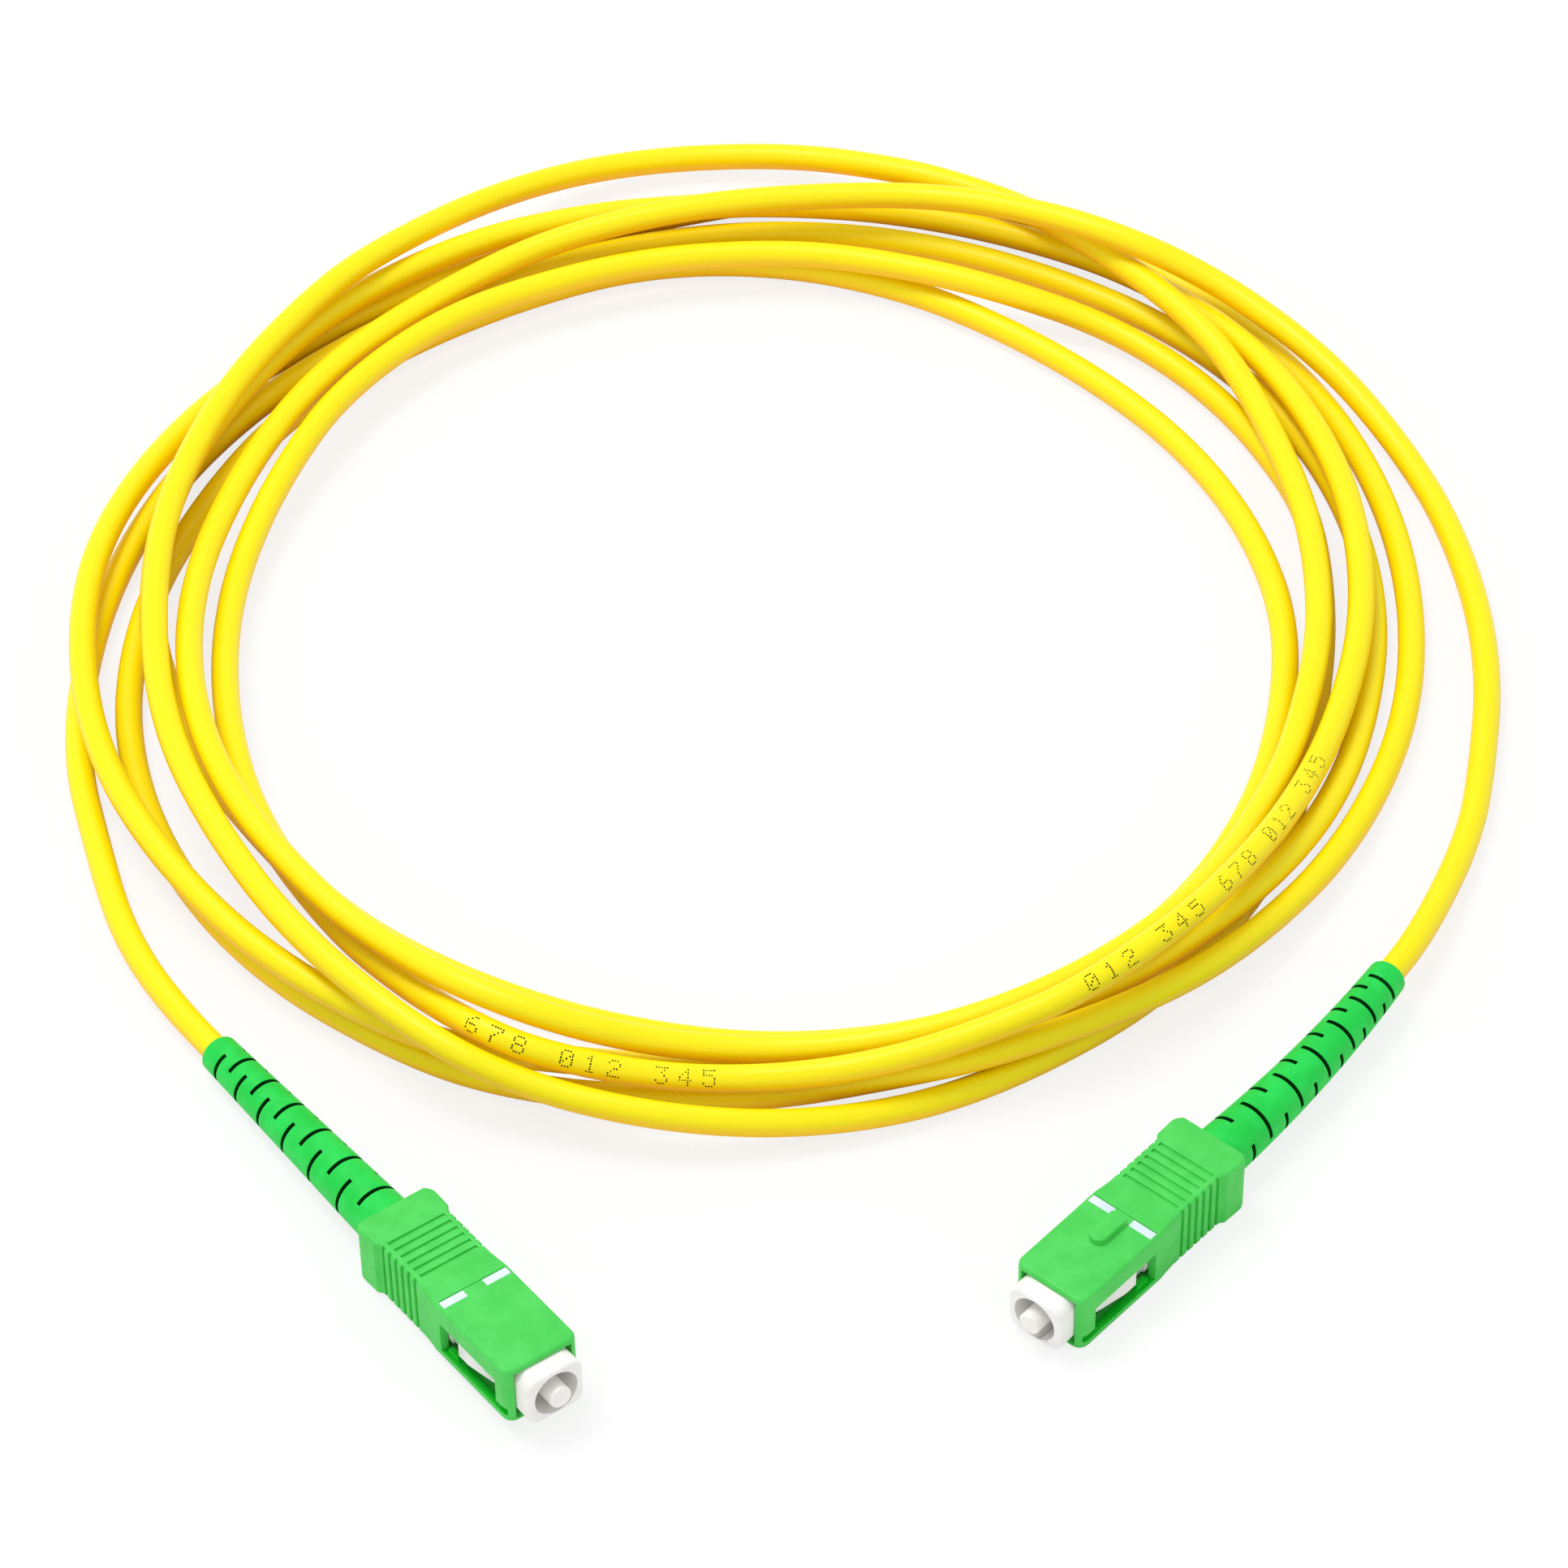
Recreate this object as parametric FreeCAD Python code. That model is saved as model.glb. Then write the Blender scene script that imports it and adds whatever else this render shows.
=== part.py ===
"""Fiber optic patch cord: a 3 mm cable wound in seven loose turns, with a push-pull plug on each end.

Millimetres, +Z up. The table is z = 0 and the origin lies on it, midway between the two plugs.
Each plug is drawn on its own axis, +X towards the mating face, +Z on the key side and x = 0 at the
front edge of its sliding housing. It is then rolled, lifted and turned to where it lies.
"""
import FreeCAD, Part
import math
import os
from FreeCAD import Vector

# Sliding housing
HOUSING_LENGTH = 27.0
HOUSING_WIDTH = 9.0
HOUSING_HEIGHT = 7.4
CORNER_CUT = 1.0
WAIST_WIDTH = 8.5
WAIST_START = 13.0
WAIST_FULL = 15.2
BAND_LENGTH = 4.1
BAND_WIDTH = 9.3
BAND_RAMP = 0.5
BAND_CORNER = 1.5
EDGE_ROUND = 0.35
LINE_DEPTH = 0.1
CORNER_BULGE = 0.35
SLIDE_TRAVEL = 2.0
SLIDE_CLEARANCE = 0.15
BOOT_CLEARANCE = 0.15
FRONT_CAVITY_LENGTH = 20.0

# Grip grooves on the housing
GROOVE_COUNT = 6
GROOVE_TO_BAND = 0.35
GROOVE_PITCH = 1.15
GROOVE_WIDTH = 0.5
GROOVE_DEPTH = 0.25
SIDE_GROOVE_DEPTH = 0.3
GROOVE_MARGIN = 0.75

# Side windows of the housing. Floor and top count from the axis, as the plug lies.
WINDOW_FRONT = 2.2
WINDOW_LENGTH = 9.8
WINDOW_FLOOR = -2.7
WINDOW_TOP = 1.2
CHANNEL_FRONT = 0.5
CHANNEL_HEIGHT = 0.9
CHANNEL_DEPTH = 0.45
RAMP_FRONT = 9.2
RAMP_RISE = 0.5
RAMP_LENGTH = 2.0
RAMP_HEIGHT = 0.65
RAMP_ROOT = 0.2

# Key and index marks
KEY_WIDTH = 2.0
KEY_HEIGHT = 0.75
KEY_LENGTH = 4.4
KEY_REAR = 11.5
MARK_CENTRE = 11.9
MARK_WIDTH = 1.05
MARK_INNER = 1.15
MARK_DEPTH = 0.2

# Plug frame
FRAME_FRONT = 2.1
FRAME_REAR = 17.5
FRAME_WIDTH = 6.8
FRAME_HEIGHT = 6.0
FRAME_ROUND = 1.5
FRAME_FRONT_ROUND = 0.35
FRONT_BORE = 5.2
SEAT_FRONT = 3.2
SEAT_REAR = 4.2
SEAT_HOLE = 3.7
REAR_BORE = 5.0
SHOULDER_LEAD = 0.4
SHOULDER_FULL = 7.6
SHOULDER_REAR = 9.3
SHOULDER_REACH = 0.7
SHOULDER_LOW = -1.45
SHOULDER_GAP = 0.1
POCKET_FRONT = 3.0
POCKET_LOW = 2.55
POCKET_DEPTH = 1.2
REAR_POCKET_END = 11.9
REAR_POCKET_DEPTH = 0.6
LATCH_FRONT = 14.6
LATCH_LENGTH = 1.6
LATCH_WIDTH = 2.4
LATCH_CLEARANCE = 0.1
LATCH_ROOT = 0.5

# Ferrule, its flange, the float of the two and the bore of the fibre
FERRULE_DIAMETER = 2.499
FERRULE_LENGTH = 10.5
FERRULE_SHANK = 2.0
SHANK_GAP = 0.1
FERRULE_TIP = 3.1
TIP_ANGLE = 8.0
TIP_BEVEL = 0.3
FIBRE_DIAMETER = 0.125
FIBRE_CLEARANCE = 0.01
FLANGE_DIAMETER = 4.4
FLANGE_HEAD_LENGTH = 2.3
FLANGE_BARREL = 3.0
FLANGE_LENGTH = 7.5
NOTCH_DEPTH = 0.4
NOTCH_WIDTH = 0.8

# Ferrule spring
SPRING_WIRE = 0.4
SPRING_MEAN = 4.05
SPRING_TURNS = 6
SPRING_SEAT_GAP = 0.1

# Stop ring, crimp ring, yarn, guide tube and buffer
STOP_FRONT = 13.5
STOP_BORE = 2.0
STOP_FIT = 0.05
COLLAR_DIAMETER = 5.9
COLLAR_LENGTH = 2.0
POST_DIAMETER = 3.9
POST_END = 26.5
YARN_THICKNESS = 0.2
CRIMP_WALL = 0.3
CRIMP_GAP = 0.02
CRIMP_FRONT = 20.0
CRIMP_STEP = 26.9
CRIMP_END = 30.5
GUIDE_DIAMETER = 1.8
GUIDE_BORE = 1.1
GUIDE_FRONT = 13.7
GUIDE_END = 26.0
BUFFER_DIAMETER = 0.9
BUFFER_CLEARANCE = 0.1

# Boot
BOOT_FRONT = 20.3
BOOT_TAIL = 59.7
BOOT_ROOT_DIAMETER = 6.1
BOOT_TAIL_DIAMETER = 4.2
BOOT_FIT = 0.05
BOOT_TAIL_ROUND = 0.4
BEND_START = 31.0
BEND_STATIONS = 8
SLIT_ROWS = 12
SLIT_FIRST = 30.2
SLIT_STEP_FIRST = 2.9
SLIT_STEP_LAST = 1.95
SLIT_WIDTH = 0.5
SLIT_ANGLE = 116.0

# Cable
CABLE_DIAMETER = 3.0
CABLE_START = 26.7
LEAST_GAP = 0.4
GAP_COUNTED_FROM = 39.0

# How far one piece of a union runs into the next
OVERLAP = 0.5

# Where things lie, measured from the middle of the photographed lay-out
ORIGIN = (2.26, -62.36)
PLUG_A = {"front": (-24.1, -89.85), "heading": -53.7, "tilt": 2.75, "roll": 180.0,
          "slit_roll": 75.5, "bend": 0.0}
PLUG_B = {"front": (26.75, -78.9), "heading": -130.6, "tilt": 0.0, "roll": 0.0,
          "slit_roll": 148.5, "bend": 9.0}

# The cable from the tail of each boot to the coil, as points on the way
LEAD_A = ((-63.4, -36.3, 1.9), (-67.4, -29.9, 1.8), (-70.7, -22.6, 1.8))
LEAD_B = ((73.1, -11.3, 1.8), (70.2, -19.3, 2.5), (66.8, -27.4, 3.6))

# The coil: one row of stations per turn, clockwise from the side nearest the eye. Each station is
# its angle in degrees, the radius where it is seen on the table and its height in millimetres.
# The radius counts in steps of 0.908 mm. A raised station lies nearer the eye on its line of sight.
RADIUS_STEP = 0.908
COIL_CENTRE = (-0.9, 24.5)
EYE_Y = -641.9
EYE_HEIGHT = 641.9
SEEN_HEIGHT = 1.8
TURNS = (
    (
        (62, 90.1, 1.7), (75, 86.5, 1.7), (90, 82.1, 1.7), (105, 78.5, 1.7), (120, 75, 1.7),
        (135, 72, 1.7), (150, 70, 1.7), (165, 70, 1.7), (180, 70.2, 1.7), (195, 70.4, 1.7),
        (210, 70.7, 1.7), (225, 71.8, 1.7), (240, 72.5, 1.7), (255, 72.7, 1.7), (270, 72.7, 1.7),
        (285, 72.8, 1.7), (297, 73.2, 3.6), (308, 73, 5.1), (320, 72.9, 5.2), (330, 73.3, 5.1),
        (340, 74.2, 4.0), (350, 74.9, 2.4),
    ),
    (
        (0, 75.6, 1.7), (10, 76.3, 1.9), (20, 78.2, 4.5), (30, 81.2, 5.3), (45, 82.3, 5.1),
        (60, 83, 5.1), (75, 84.1, 5.1), (90, 84.2, 5.1), (103, 83.2, 4.7), (117, 80.4, 2.1),
        (130, 77.1, 1.7), (142, 74.9, 1.7), (150, 73.9, 1.7), (160, 74, 1.7), (170, 75, 1.7),
        (180, 76.8, 1.7), (195, 79.2, 1.7), (210, 79.7, 1.7), (225, 78.8, 1.7), (240, 78.2, 1.7),
        (255, 77.5, 1.7), (270, 77.2, 1.7), (285, 77.5, 1.7), (300, 77.7, 2.2), (313, 77.6, 3.7),
        (325, 77.3, 5.1), (340, 77, 5.2), (350, 77.5, 3.7),
    ),
    (
        (0, 79.4, 1.7), (10, 81.2, 1.7), (20, 83.2, 1.7), (30, 84, 1.7), (45, 84, 1.7),
        (60, 82.6, 1.7), (75, 80.2, 1.7), (90, 76.7, 1.7), (105, 72.9, 1.7), (120, 70.5, 1.7),
        (135, 67.7, 1.7), (150, 66.2, 1.7), (165, 65.9, 1.7), (180, 64.2, 1.7), (195, 61.7, 1.7),
        (210, 59.2, 1.7), (225, 58.3, 1.7), (240, 58.8, 1.7), (255, 59.9, 1.7), (270, 61.5, 1.7),
        (285, 62.9, 1.7), (300, 65.4, 1.7), (315, 68.2, 1.7), (330, 70.4, 1.7), (345, 71.5, 1.7),
    ),
    (
        (0, 71.7, 1.7), (15, 71.2, 1.7), (30, 71.1, 1.7), (45, 71.6, 1.7), (60, 71.6, 1.7),
        (70, 72.8, 2.1), (80, 74.3, 3.6), (90, 75.8, 5.1), (105, 77.4, 5.1), (120, 78.2, 5.1),
        (135, 78.9, 5.1), (150, 78.6, 5.1), (162, 77.3, 5.1), (171, 76.2, 4.9), (180, 76, 3.9),
        (192, 76, 2.9), (205, 76.3, 2.3), (217, 77, 3.2), (230, 76.7, 4.6), (242, 75.2, 5.3),
        (255, 73.3, 5.3), (270, 71.2, 5.1), (285, 69.7, 5.4), (297, 69.4, 7.4), (307, 69.5, 10.0),
        (317, 70.2, 11.1), (330, 71.9, 10.7), (340, 73.3, 9.0), (350, 75.2, 7.4),
    ),
    (
        (0, 76.7, 5.4), (10, 77.6, 5.8), (20, 77.6, 8.0), (27, 76.8, 8.8), (35, 75.3, 6.0),
        (45, 73.3, 5.1), (60, 70.6, 5.2), (75, 68.1, 4.7), (90, 66.5, 3.2), (105, 65.8, 3.8),
        (120, 66.6, 5.1), (130, 67.4, 5.1), (140, 67.8, 5.1), (150, 67.5, 5.1), (165, 67, 5.1),
        (180, 66.5, 5.1), (192, 66, 5.2), (205, 65.9, 4.8), (220, 67, 2.2), (235, 67.5, 1.7),
        (250, 67.7, 1.7), (260, 67.1, 1.7), (272, 66.4, 1.7), (284, 66.8, 1.7), (295, 68.9, 1.7),
        (305, 71.7, 1.7), (315, 74.4, 1.7), (327, 77.6, 1.7), (340, 80.7, 1.7), (350, 83, 2.0),
    ),
    (
        (0, 83.9, 3.2), (10, 83.7, 4.9), (20, 82.8, 6.1), (30, 80.8, 8.6), (45, 77.6, 8.8),
        (60, 75.6, 8.5), (75, 75.4, 8.8), (90, 75.6, 8.9), (105, 77.4, 8.7), (120, 79.4, 8.5),
        (132, 81.5, 8.6), (142, 83.6, 8.4), (155, 85.4, 5.6), (167, 86, 2.8), (180, 85.4, 2.8),
        (190, 84.2, 5.0), (197, 82.9, 5.5), (205, 81, 5.9), (215, 77.8, 6.5), (225, 75, 6.1),
        (235, 71.8, 5.3), (250, 68.3, 5.1), (262, 66.7, 5.1), (275, 65.8, 5.2), (290, 65.8, 5.2),
        (300, 66.5, 5.6), (310, 67.9, 7.6), (320, 69, 8.6), (330, 70, 8.5), (340, 71, 7.7),
        (350, 71.9, 6.4),
    ),
    (
        (0, 72.3, 5.1), (10, 72.4, 6.3), (20, 72.1, 9.7), (30, 71.8, 11.1), (40, 71.7, 9.0),
        (50, 71.4, 8.7), (65, 71.5, 8.7), (80, 71.5, 8.2), (95, 71, 6.2), (110, 70.5, 5.3),
        (123, 71.1, 5.3), (135, 71.8, 5.3), (150, 73.1, 5.4), (160, 74.6, 6.6), (171, 76, 7.9),
        (182, 77.4, 8.0), (193, 79.7, 8.2), (202, 81.2, 9.3), (211, 82.2, 10.3), (222, 82.6, 7.5),
        (235, 82.7, 5.2), (247, 82.9, 2.8), (260, 84.2, 1.7), (275, 86.3, 1.7), (290, 89.2, 1.7),
    ),
)


def rod(radius, front, rear):
    """A round bar on the plug's axis, between two distances behind the housing's front edge."""
    return Part.makeCylinder(radius, rear - front, Vector(-rear, 0, 0), Vector(1, 0, 0))


def ring(outer, inner, front, rear):
    return rod(outer, front, rear).cut(rod(inner, front - 1, rear + 1))


def block(front, rear, y_low, y_high, z_low, z_high):
    return Part.makeBox(rear - front, y_high - y_low, z_high - z_low, Vector(-rear, y_low, z_low))


def along_x(shape):
    """Its edges that run along the plug's axis."""
    edges = []
    for edge in shape.Edges:
        ends = edge.Vertexes
        if len(ends) == 2 and abs(ends[0].X - ends[1].X) > 1:
            edges.append(edge)
    return edges


def rounded_bar(width, height, radius, front, rear):
    bar = block(front, rear, -width / 2, width / 2, -height / 2, height / 2)
    return bar.makeFillet(radius, along_x(bar))


def union(shapes):
    return shapes[0].multiFuse(shapes[1:]).removeSplitter()


def unit(vector):
    return Vector(vector).normalize()


# Cable paths

def biarc_join(p1, t1, p2, t2):
    """The point where two arcs meet that leave p1 along t1 and reach p2 along t2."""
    chord = p2 - p1
    both = t1 + t2
    along = chord.dot(both)
    bend = 2 * (1 - t1.dot(t2))
    if bend < 1e-9:
        reach = chord.dot(chord) / (2 * along)
    else:
        reach = (math.sqrt(along * along + bend * chord.dot(chord)) - along) / bend
    return (p1 + p2 + (t1 - t2) * reach) * 0.5


def arc_points(start, tangent, end, count):
    """Points along the arc that leaves start along tangent and ends at end, both ends in."""
    chord = end - start
    side = chord - tangent * chord.dot(tangent)
    if side.Length < 1e-6:
        return [start + chord * (i / count) for i in range(count + 1)]
    side = unit(side)
    radius = chord.dot(chord) / (2 * chord.dot(side))
    angle = 2 * math.atan2(chord.dot(side), chord.dot(tangent))
    points = []
    for i in range(count + 1):
        part = angle * i / count
        points.append(start + side * (radius * (1 - math.cos(part))) + tangent * (radius * math.sin(part)))
    return points


def station_tangents(points, first, last):
    """At each point the direction of the circle through it and its two neighbours."""
    tangents = [unit(first)]
    for before, here, after in zip(points, points[1:], points[2:]):
        step_in = here - before
        step_out = after - here
        tangents.append(unit(step_in * (step_out.Length / step_in.Length)
                             + step_out * (step_in.Length / step_out.Length)))
    tangents.append(unit(last))
    return tangents


def biarcs(points, first, last):
    """The arcs of a smooth path through the points, each as five points along it."""
    tangents = station_tangents(points, first, last)
    arcs = []
    for i in range(len(points) - 1):
        middle = biarc_join(points[i], tangents[i], points[i + 1], tangents[i + 1])
        arcs.append(arc_points(points[i], tangents[i], middle, 4))
        back = arc_points(points[i + 1], tangents[i + 1] * -1, middle, 4)
        arcs.append(back[::-1])
    return arcs


def arc_edge(arc):
    start, middle, end = arc[0], arc[len(arc) // 2], arc[-1]
    if (middle - (start + end) * 0.5).Length < 1e-4:
        return Part.makeLine(start, end)
    return Part.Arc(start, middle, end).toShape()


def pipe(edges, diameter):
    """A round tube along joined edges, checked against its section times its length."""
    path = Part.Wire(edges)
    start = edges[0].valueAt(edges[0].FirstParameter)
    heading = edges[0].tangentAt(edges[0].FirstParameter)
    section = Part.Wire([Part.makeCircle(diameter / 2, start, heading)])
    solid = path.makePipeShell([section], True, False)
    expected = math.pi * diameter ** 2 / 4 * path.Length
    print("pipe", round(diameter, 2), "length", round(path.Length, 1),
          "volume over section times length", round(solid.Volume / expected, 4), "valid", solid.isValid())
    return solid


def rounded_route(points):
    """Straight runs with an arc at each corner, as edges."""
    edges = []
    radii = []
    here = points[0]
    for before, corner, after in zip(points, points[1:], points[2:]):
        run_in = unit(corner - before)
        run_out = unit(after - corner)
        half_turn = run_in.getAngle(run_out) / 2
        shorter = min((corner - before).Length, (after - corner).Length)
        radius = 0.45 * shorter / math.tan(half_turn)
        arc_start = corner - run_in * (0.45 * shorter)
        arc_end = corner + run_out * (0.45 * shorter)
        inward = unit(run_out - run_in)
        middle = corner + inward * (radius / math.cos(half_turn) - radius)
        edges.append(Part.makeLine(here, arc_start))
        edges.append(Part.Arc(arc_start, middle, arc_end).toShape())
        radii.append(round(radius, 1))
        here = arc_end
    edges.append(Part.makeLine(here, points[-1]))
    print("lead bends, radius in mm", radii)
    return edges


def least_gap(points, diameter, apart):
    """The least gap of a tube to itself, between points further than apart along it."""
    run = [0.0]
    for before, after in zip(points, points[1:]):
        run.append(run[-1] + (after - before).Length)
    least = None
    coordinates = [(p.x, p.y, p.z) for p in points]
    for i, (x, y, z) in enumerate(coordinates):
        for j in range(i + 1, len(coordinates)):
            if run[j] - run[i] < apart:
                continue
            u, v, w = coordinates[j]
            square = (x - u) ** 2 + (y - v) ** 2 + (z - w) ** 2
            if least is None or square < least:
                least = square
    return math.sqrt(least) - diameter


def seat_in_frame(x, y, z):
    return Vector(x - ORIGIN[0], y - ORIGIN[1], z)


def coil_station(angle, seen_radius, height):
    """A station of the coil, moved along its line of sight from the table to its height."""
    turn = math.radians(angle)
    radius = seen_radius * RADIUS_STEP
    x = COIL_CENTRE[0] - radius * math.sin(turn)
    y = COIL_CENTRE[1] - radius * math.cos(turn)
    scale = (EYE_HEIGHT - height) / (EYE_HEIGHT - SEEN_HEIGHT)
    return seat_in_frame(x * scale, EYE_Y + (y - EYE_Y) * scale, height)


def coil_stations():
    stations = []
    for turn in TURNS:
        for angle, seen_radius, height in turn:
            stations.append(coil_station(angle, seen_radius, height))
    return stations


# Where each plug lies

def front_height(plug):
    """Key up, the plug lies on its flat face. Key down, it lies tilted on the rear end of its key."""
    if not plug["roll"]:
        return HOUSING_HEIGHT / 2
    tilt = math.radians(plug["tilt"])
    return KEY_REAR * math.sin(tilt) + (HOUSING_HEIGHT / 2 + KEY_HEIGHT) * math.cos(tilt)


def boot_line(plug, distance):
    """Where the boot's centre line lies on the plug, and its heading there. A bent boot follows an arc."""
    past = distance - BEND_START
    if past <= 0 or not plug["bend"]:
        return FreeCAD.Placement(Vector(-distance, 0, 0), FreeCAD.Rotation())
    bend_radius = (BOOT_TAIL - BEND_START) / math.radians(plug["bend"])
    turned = past / bend_radius
    place = Vector(-BEND_START - bend_radius * math.sin(turned), -bend_radius * (1 - math.cos(turned)), 0)
    return FreeCAD.Placement(place, FreeCAD.Rotation(Vector(0, 0, 1), math.degrees(turned)))


def plug_placement(plug):
    front = seat_in_frame(plug["front"][0], plug["front"][1], front_height(plug))
    turn = FreeCAD.Rotation(Vector(0, 0, 1), plug["heading"])
    tilt = FreeCAD.Rotation(Vector(0, 1, 0), -plug["tilt"])
    roll = FreeCAD.Rotation(Vector(1, 0, 0), plug["roll"])
    return FreeCAD.Placement(front, turn.multiply(tilt).multiply(roll))


def on_cable_line(plug, distance):
    """The cable's centre in the plug or boot, in the frame."""
    return plug_placement(plug).multiply(boot_line(plug, distance)).Base


# The pieces of a plug

def band_start():
    return HOUSING_LENGTH - BAND_LENGTH


def housing_outline():
    """The housing from above, one side and its mirror."""
    rear = HOUSING_LENGTH
    half = [
        (0, HOUSING_WIDTH / 2 - CORNER_CUT),
        (CORNER_CUT * CORNER_BULGE, HOUSING_WIDTH / 2 - CORNER_CUT * CORNER_BULGE),
        (CORNER_CUT, HOUSING_WIDTH / 2),
        (WAIST_START, HOUSING_WIDTH / 2),
        (WAIST_FULL, WAIST_WIDTH / 2),
        (band_start(), WAIST_WIDTH / 2),
        (band_start() + BAND_RAMP, BAND_WIDTH / 2),
        (rear - BAND_CORNER, BAND_WIDTH / 2),
        (rear, BAND_WIDTH / 2 - BAND_CORNER / 2),
    ]
    left = [Vector(-x, y, 0) for x, y in half]
    right = [Vector(-x, -y, 0) for x, y in reversed(half)]
    return left + right + [left[0]]


def housing_body():
    outline = Part.Face(Part.makePolygon(housing_outline()))
    bottom = Vector(0, 0, -HOUSING_HEIGHT / 2)
    outline.translate(bottom)
    body = outline.extrude(Vector(0, 0, HOUSING_HEIGHT))
    rims = []
    for edge in body.Edges:
        low, high = edge.BoundBox.ZMin, edge.BoundBox.ZMax
        if high - low < 1e-6:
            rims.append(edge)
    return body.makeFillet(EDGE_ROUND, rims)


def mark_boxes():
    """The four white marks, two on each wide face, on either side of the key's line."""
    boxes = []
    front = MARK_CENTRE - MARK_WIDTH / 2
    rear = MARK_CENTRE + MARK_WIDTH / 2
    outer = HOUSING_WIDTH / 2 - EDGE_ROUND
    face = HOUSING_HEIGHT / 2
    for side in (-1, 1):
        low, high = sorted((side * MARK_INNER, side * outer))
        boxes.append(block(front, rear, low, high, face - MARK_DEPTH, face))
        boxes.append(block(front, rear, low, high, -face, -face + MARK_DEPTH))
    return boxes


def groove_cuts():
    """Grooves on all four sides, counted forward from the plain band at the rear."""
    cuts = []
    half = HOUSING_HEIGHT / 2
    across = WAIST_WIDTH / 2 - GROOVE_MARGIN
    for i in range(GROOVE_COUNT):
        rear = band_start() - GROOVE_TO_BAND - i * GROOVE_PITCH
        front = rear - GROOVE_WIDTH
        cuts.append(block(front, rear, -across, across, half - GROOVE_DEPTH, half + 1))
        cuts.append(block(front, rear, -across, across, -half - 1, -half + GROOVE_DEPTH))
        inner = WAIST_WIDTH / 2 - SIDE_GROOVE_DEPTH
        cuts.append(block(front, rear, inner, inner + 1, -half - 1, half + 1))
        cuts.append(block(front, rear, -inner - 1, -inner, -half - 1, half + 1))
    return cuts


def both_flanks(front, rear, inner, outer, low, high):
    """A block on each flank, between two heights as the plug lies."""
    return [block(front, rear, inner, outer, low, high), block(front, rear, -outer, -inner, low, high)]


def as_it_lies(shapes, plug):
    """The windows sit low on a plug as it lies, so on a plug that lies on its key they are turned over."""
    turned = FreeCAD.Placement(Vector(0, 0, 0), FreeCAD.Rotation(Vector(1, 0, 0), -plug["roll"]))
    return [shape.transformed(turned.toMatrix()) for shape in shapes]


def window_cuts():
    """Each window, and a shallow channel from the front edge to it along its floor."""
    rear = WINDOW_FRONT + WINDOW_LENGTH
    cuts = both_flanks(WINDOW_FRONT, rear, FRAME_WIDTH / 2, HOUSING_WIDTH, WINDOW_FLOOR, WINDOW_TOP)
    return cuts + both_flanks(CHANNEL_FRONT, WINDOW_FRONT + OVERLAP, HOUSING_WIDTH / 2 - CHANNEL_DEPTH,
                              HOUSING_WIDTH, WINDOW_FLOOR, WINDOW_FLOOR + CHANNEL_HEIGHT)


def release_ramps():
    """A tooth on the floor of each window, with a steep ramp at its front."""
    ramps = []
    inner = FRAME_WIDTH / 2 + SLIDE_CLEARANCE
    outer = HOUSING_WIDTH / 2 - EDGE_ROUND
    low = WINDOW_FLOOR - RAMP_ROOT
    high = WINDOW_FLOOR + RAMP_HEIGHT
    profile = Part.makePolygon([
        Vector(-RAMP_FRONT, 0, low),
        Vector(-RAMP_FRONT - RAMP_RISE, 0, high),
        Vector(-RAMP_FRONT - RAMP_LENGTH, 0, high),
        Vector(-RAMP_FRONT - RAMP_LENGTH, 0, low),
        Vector(-RAMP_FRONT, 0, low),
    ])
    for side in (inner, -outer):
        wedge = Part.Face(profile).extrude(Vector(0, outer - inner, 0))
        wedge.translate(Vector(0, side, 0))
        ramps.append(wedge)
    return ramps


def key():
    rear = KEY_REAR
    front = KEY_REAR - KEY_LENGTH
    radius = KEY_WIDTH / 2
    base = HOUSING_HEIGHT / 2 - EDGE_ROUND
    bar = block(front + radius, rear, -radius, radius, base, base + EDGE_ROUND + KEY_HEIGHT)
    nose = Part.makeCylinder(radius, EDGE_ROUND + KEY_HEIGHT, Vector(-front - radius, 0, base))
    return [bar, nose]


def housing_cavity():
    width = FRAME_WIDTH + 2 * SLIDE_CLEARANCE
    height = FRAME_HEIGHT + 2 * SLIDE_CLEARANCE
    front_room = block(-1, FRONT_CAVITY_LENGTH, -width / 2, width / 2, -height / 2, height / 2)
    boot_room = rod(BOOT_ROOT_DIAMETER / 2 + BOOT_CLEARANCE, FRONT_CAVITY_LENGTH - 1, HOUSING_LENGTH + 1)
    return [front_room, boot_room]


def line_cuts():
    """A fine line runs across each wide face along the rear edge of the marks."""
    front = MARK_CENTRE + MARK_WIDTH / 2
    rear = front + LINE_DEPTH
    half = HOUSING_HEIGHT / 2
    top = block(front, rear, -HOUSING_WIDTH, HOUSING_WIDTH, half - LINE_DEPTH, half + 1)
    bottom = block(front, rear, -HOUSING_WIDTH, HOUSING_WIDTH, -half - 1, -half + LINE_DEPTH)
    return [top, bottom]


def outer_housing(plug):
    body = housing_body()
    body = body.cut(line_cuts() + as_it_lies(window_cuts(), plug) + groove_cuts())
    body = union([body] + key() + as_it_lies(release_ramps(), plug))
    return body.cut(housing_cavity() + mark_boxes())


def index_marks():
    return Part.Compound(mark_boxes())


def stop_radius():
    return REAR_BORE / 2 - STOP_FIT


def latch_windows(grow):
    """The two side holes of the frame that the stop ring snaps into, or its lugs when grow is under 0."""
    front = LATCH_FRONT - grow
    rear = LATCH_FRONT + LATCH_LENGTH + grow
    half = LATCH_WIDTH / 2 + grow
    reach = FRAME_WIDTH / 2 + min(grow, 0)
    inner = stop_radius() - LATCH_ROOT
    return [block(front, rear, inner, reach + max(grow, 0), -half, half),
            block(front, rear, -reach - max(grow, 0), -inner, -half, half)]


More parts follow.
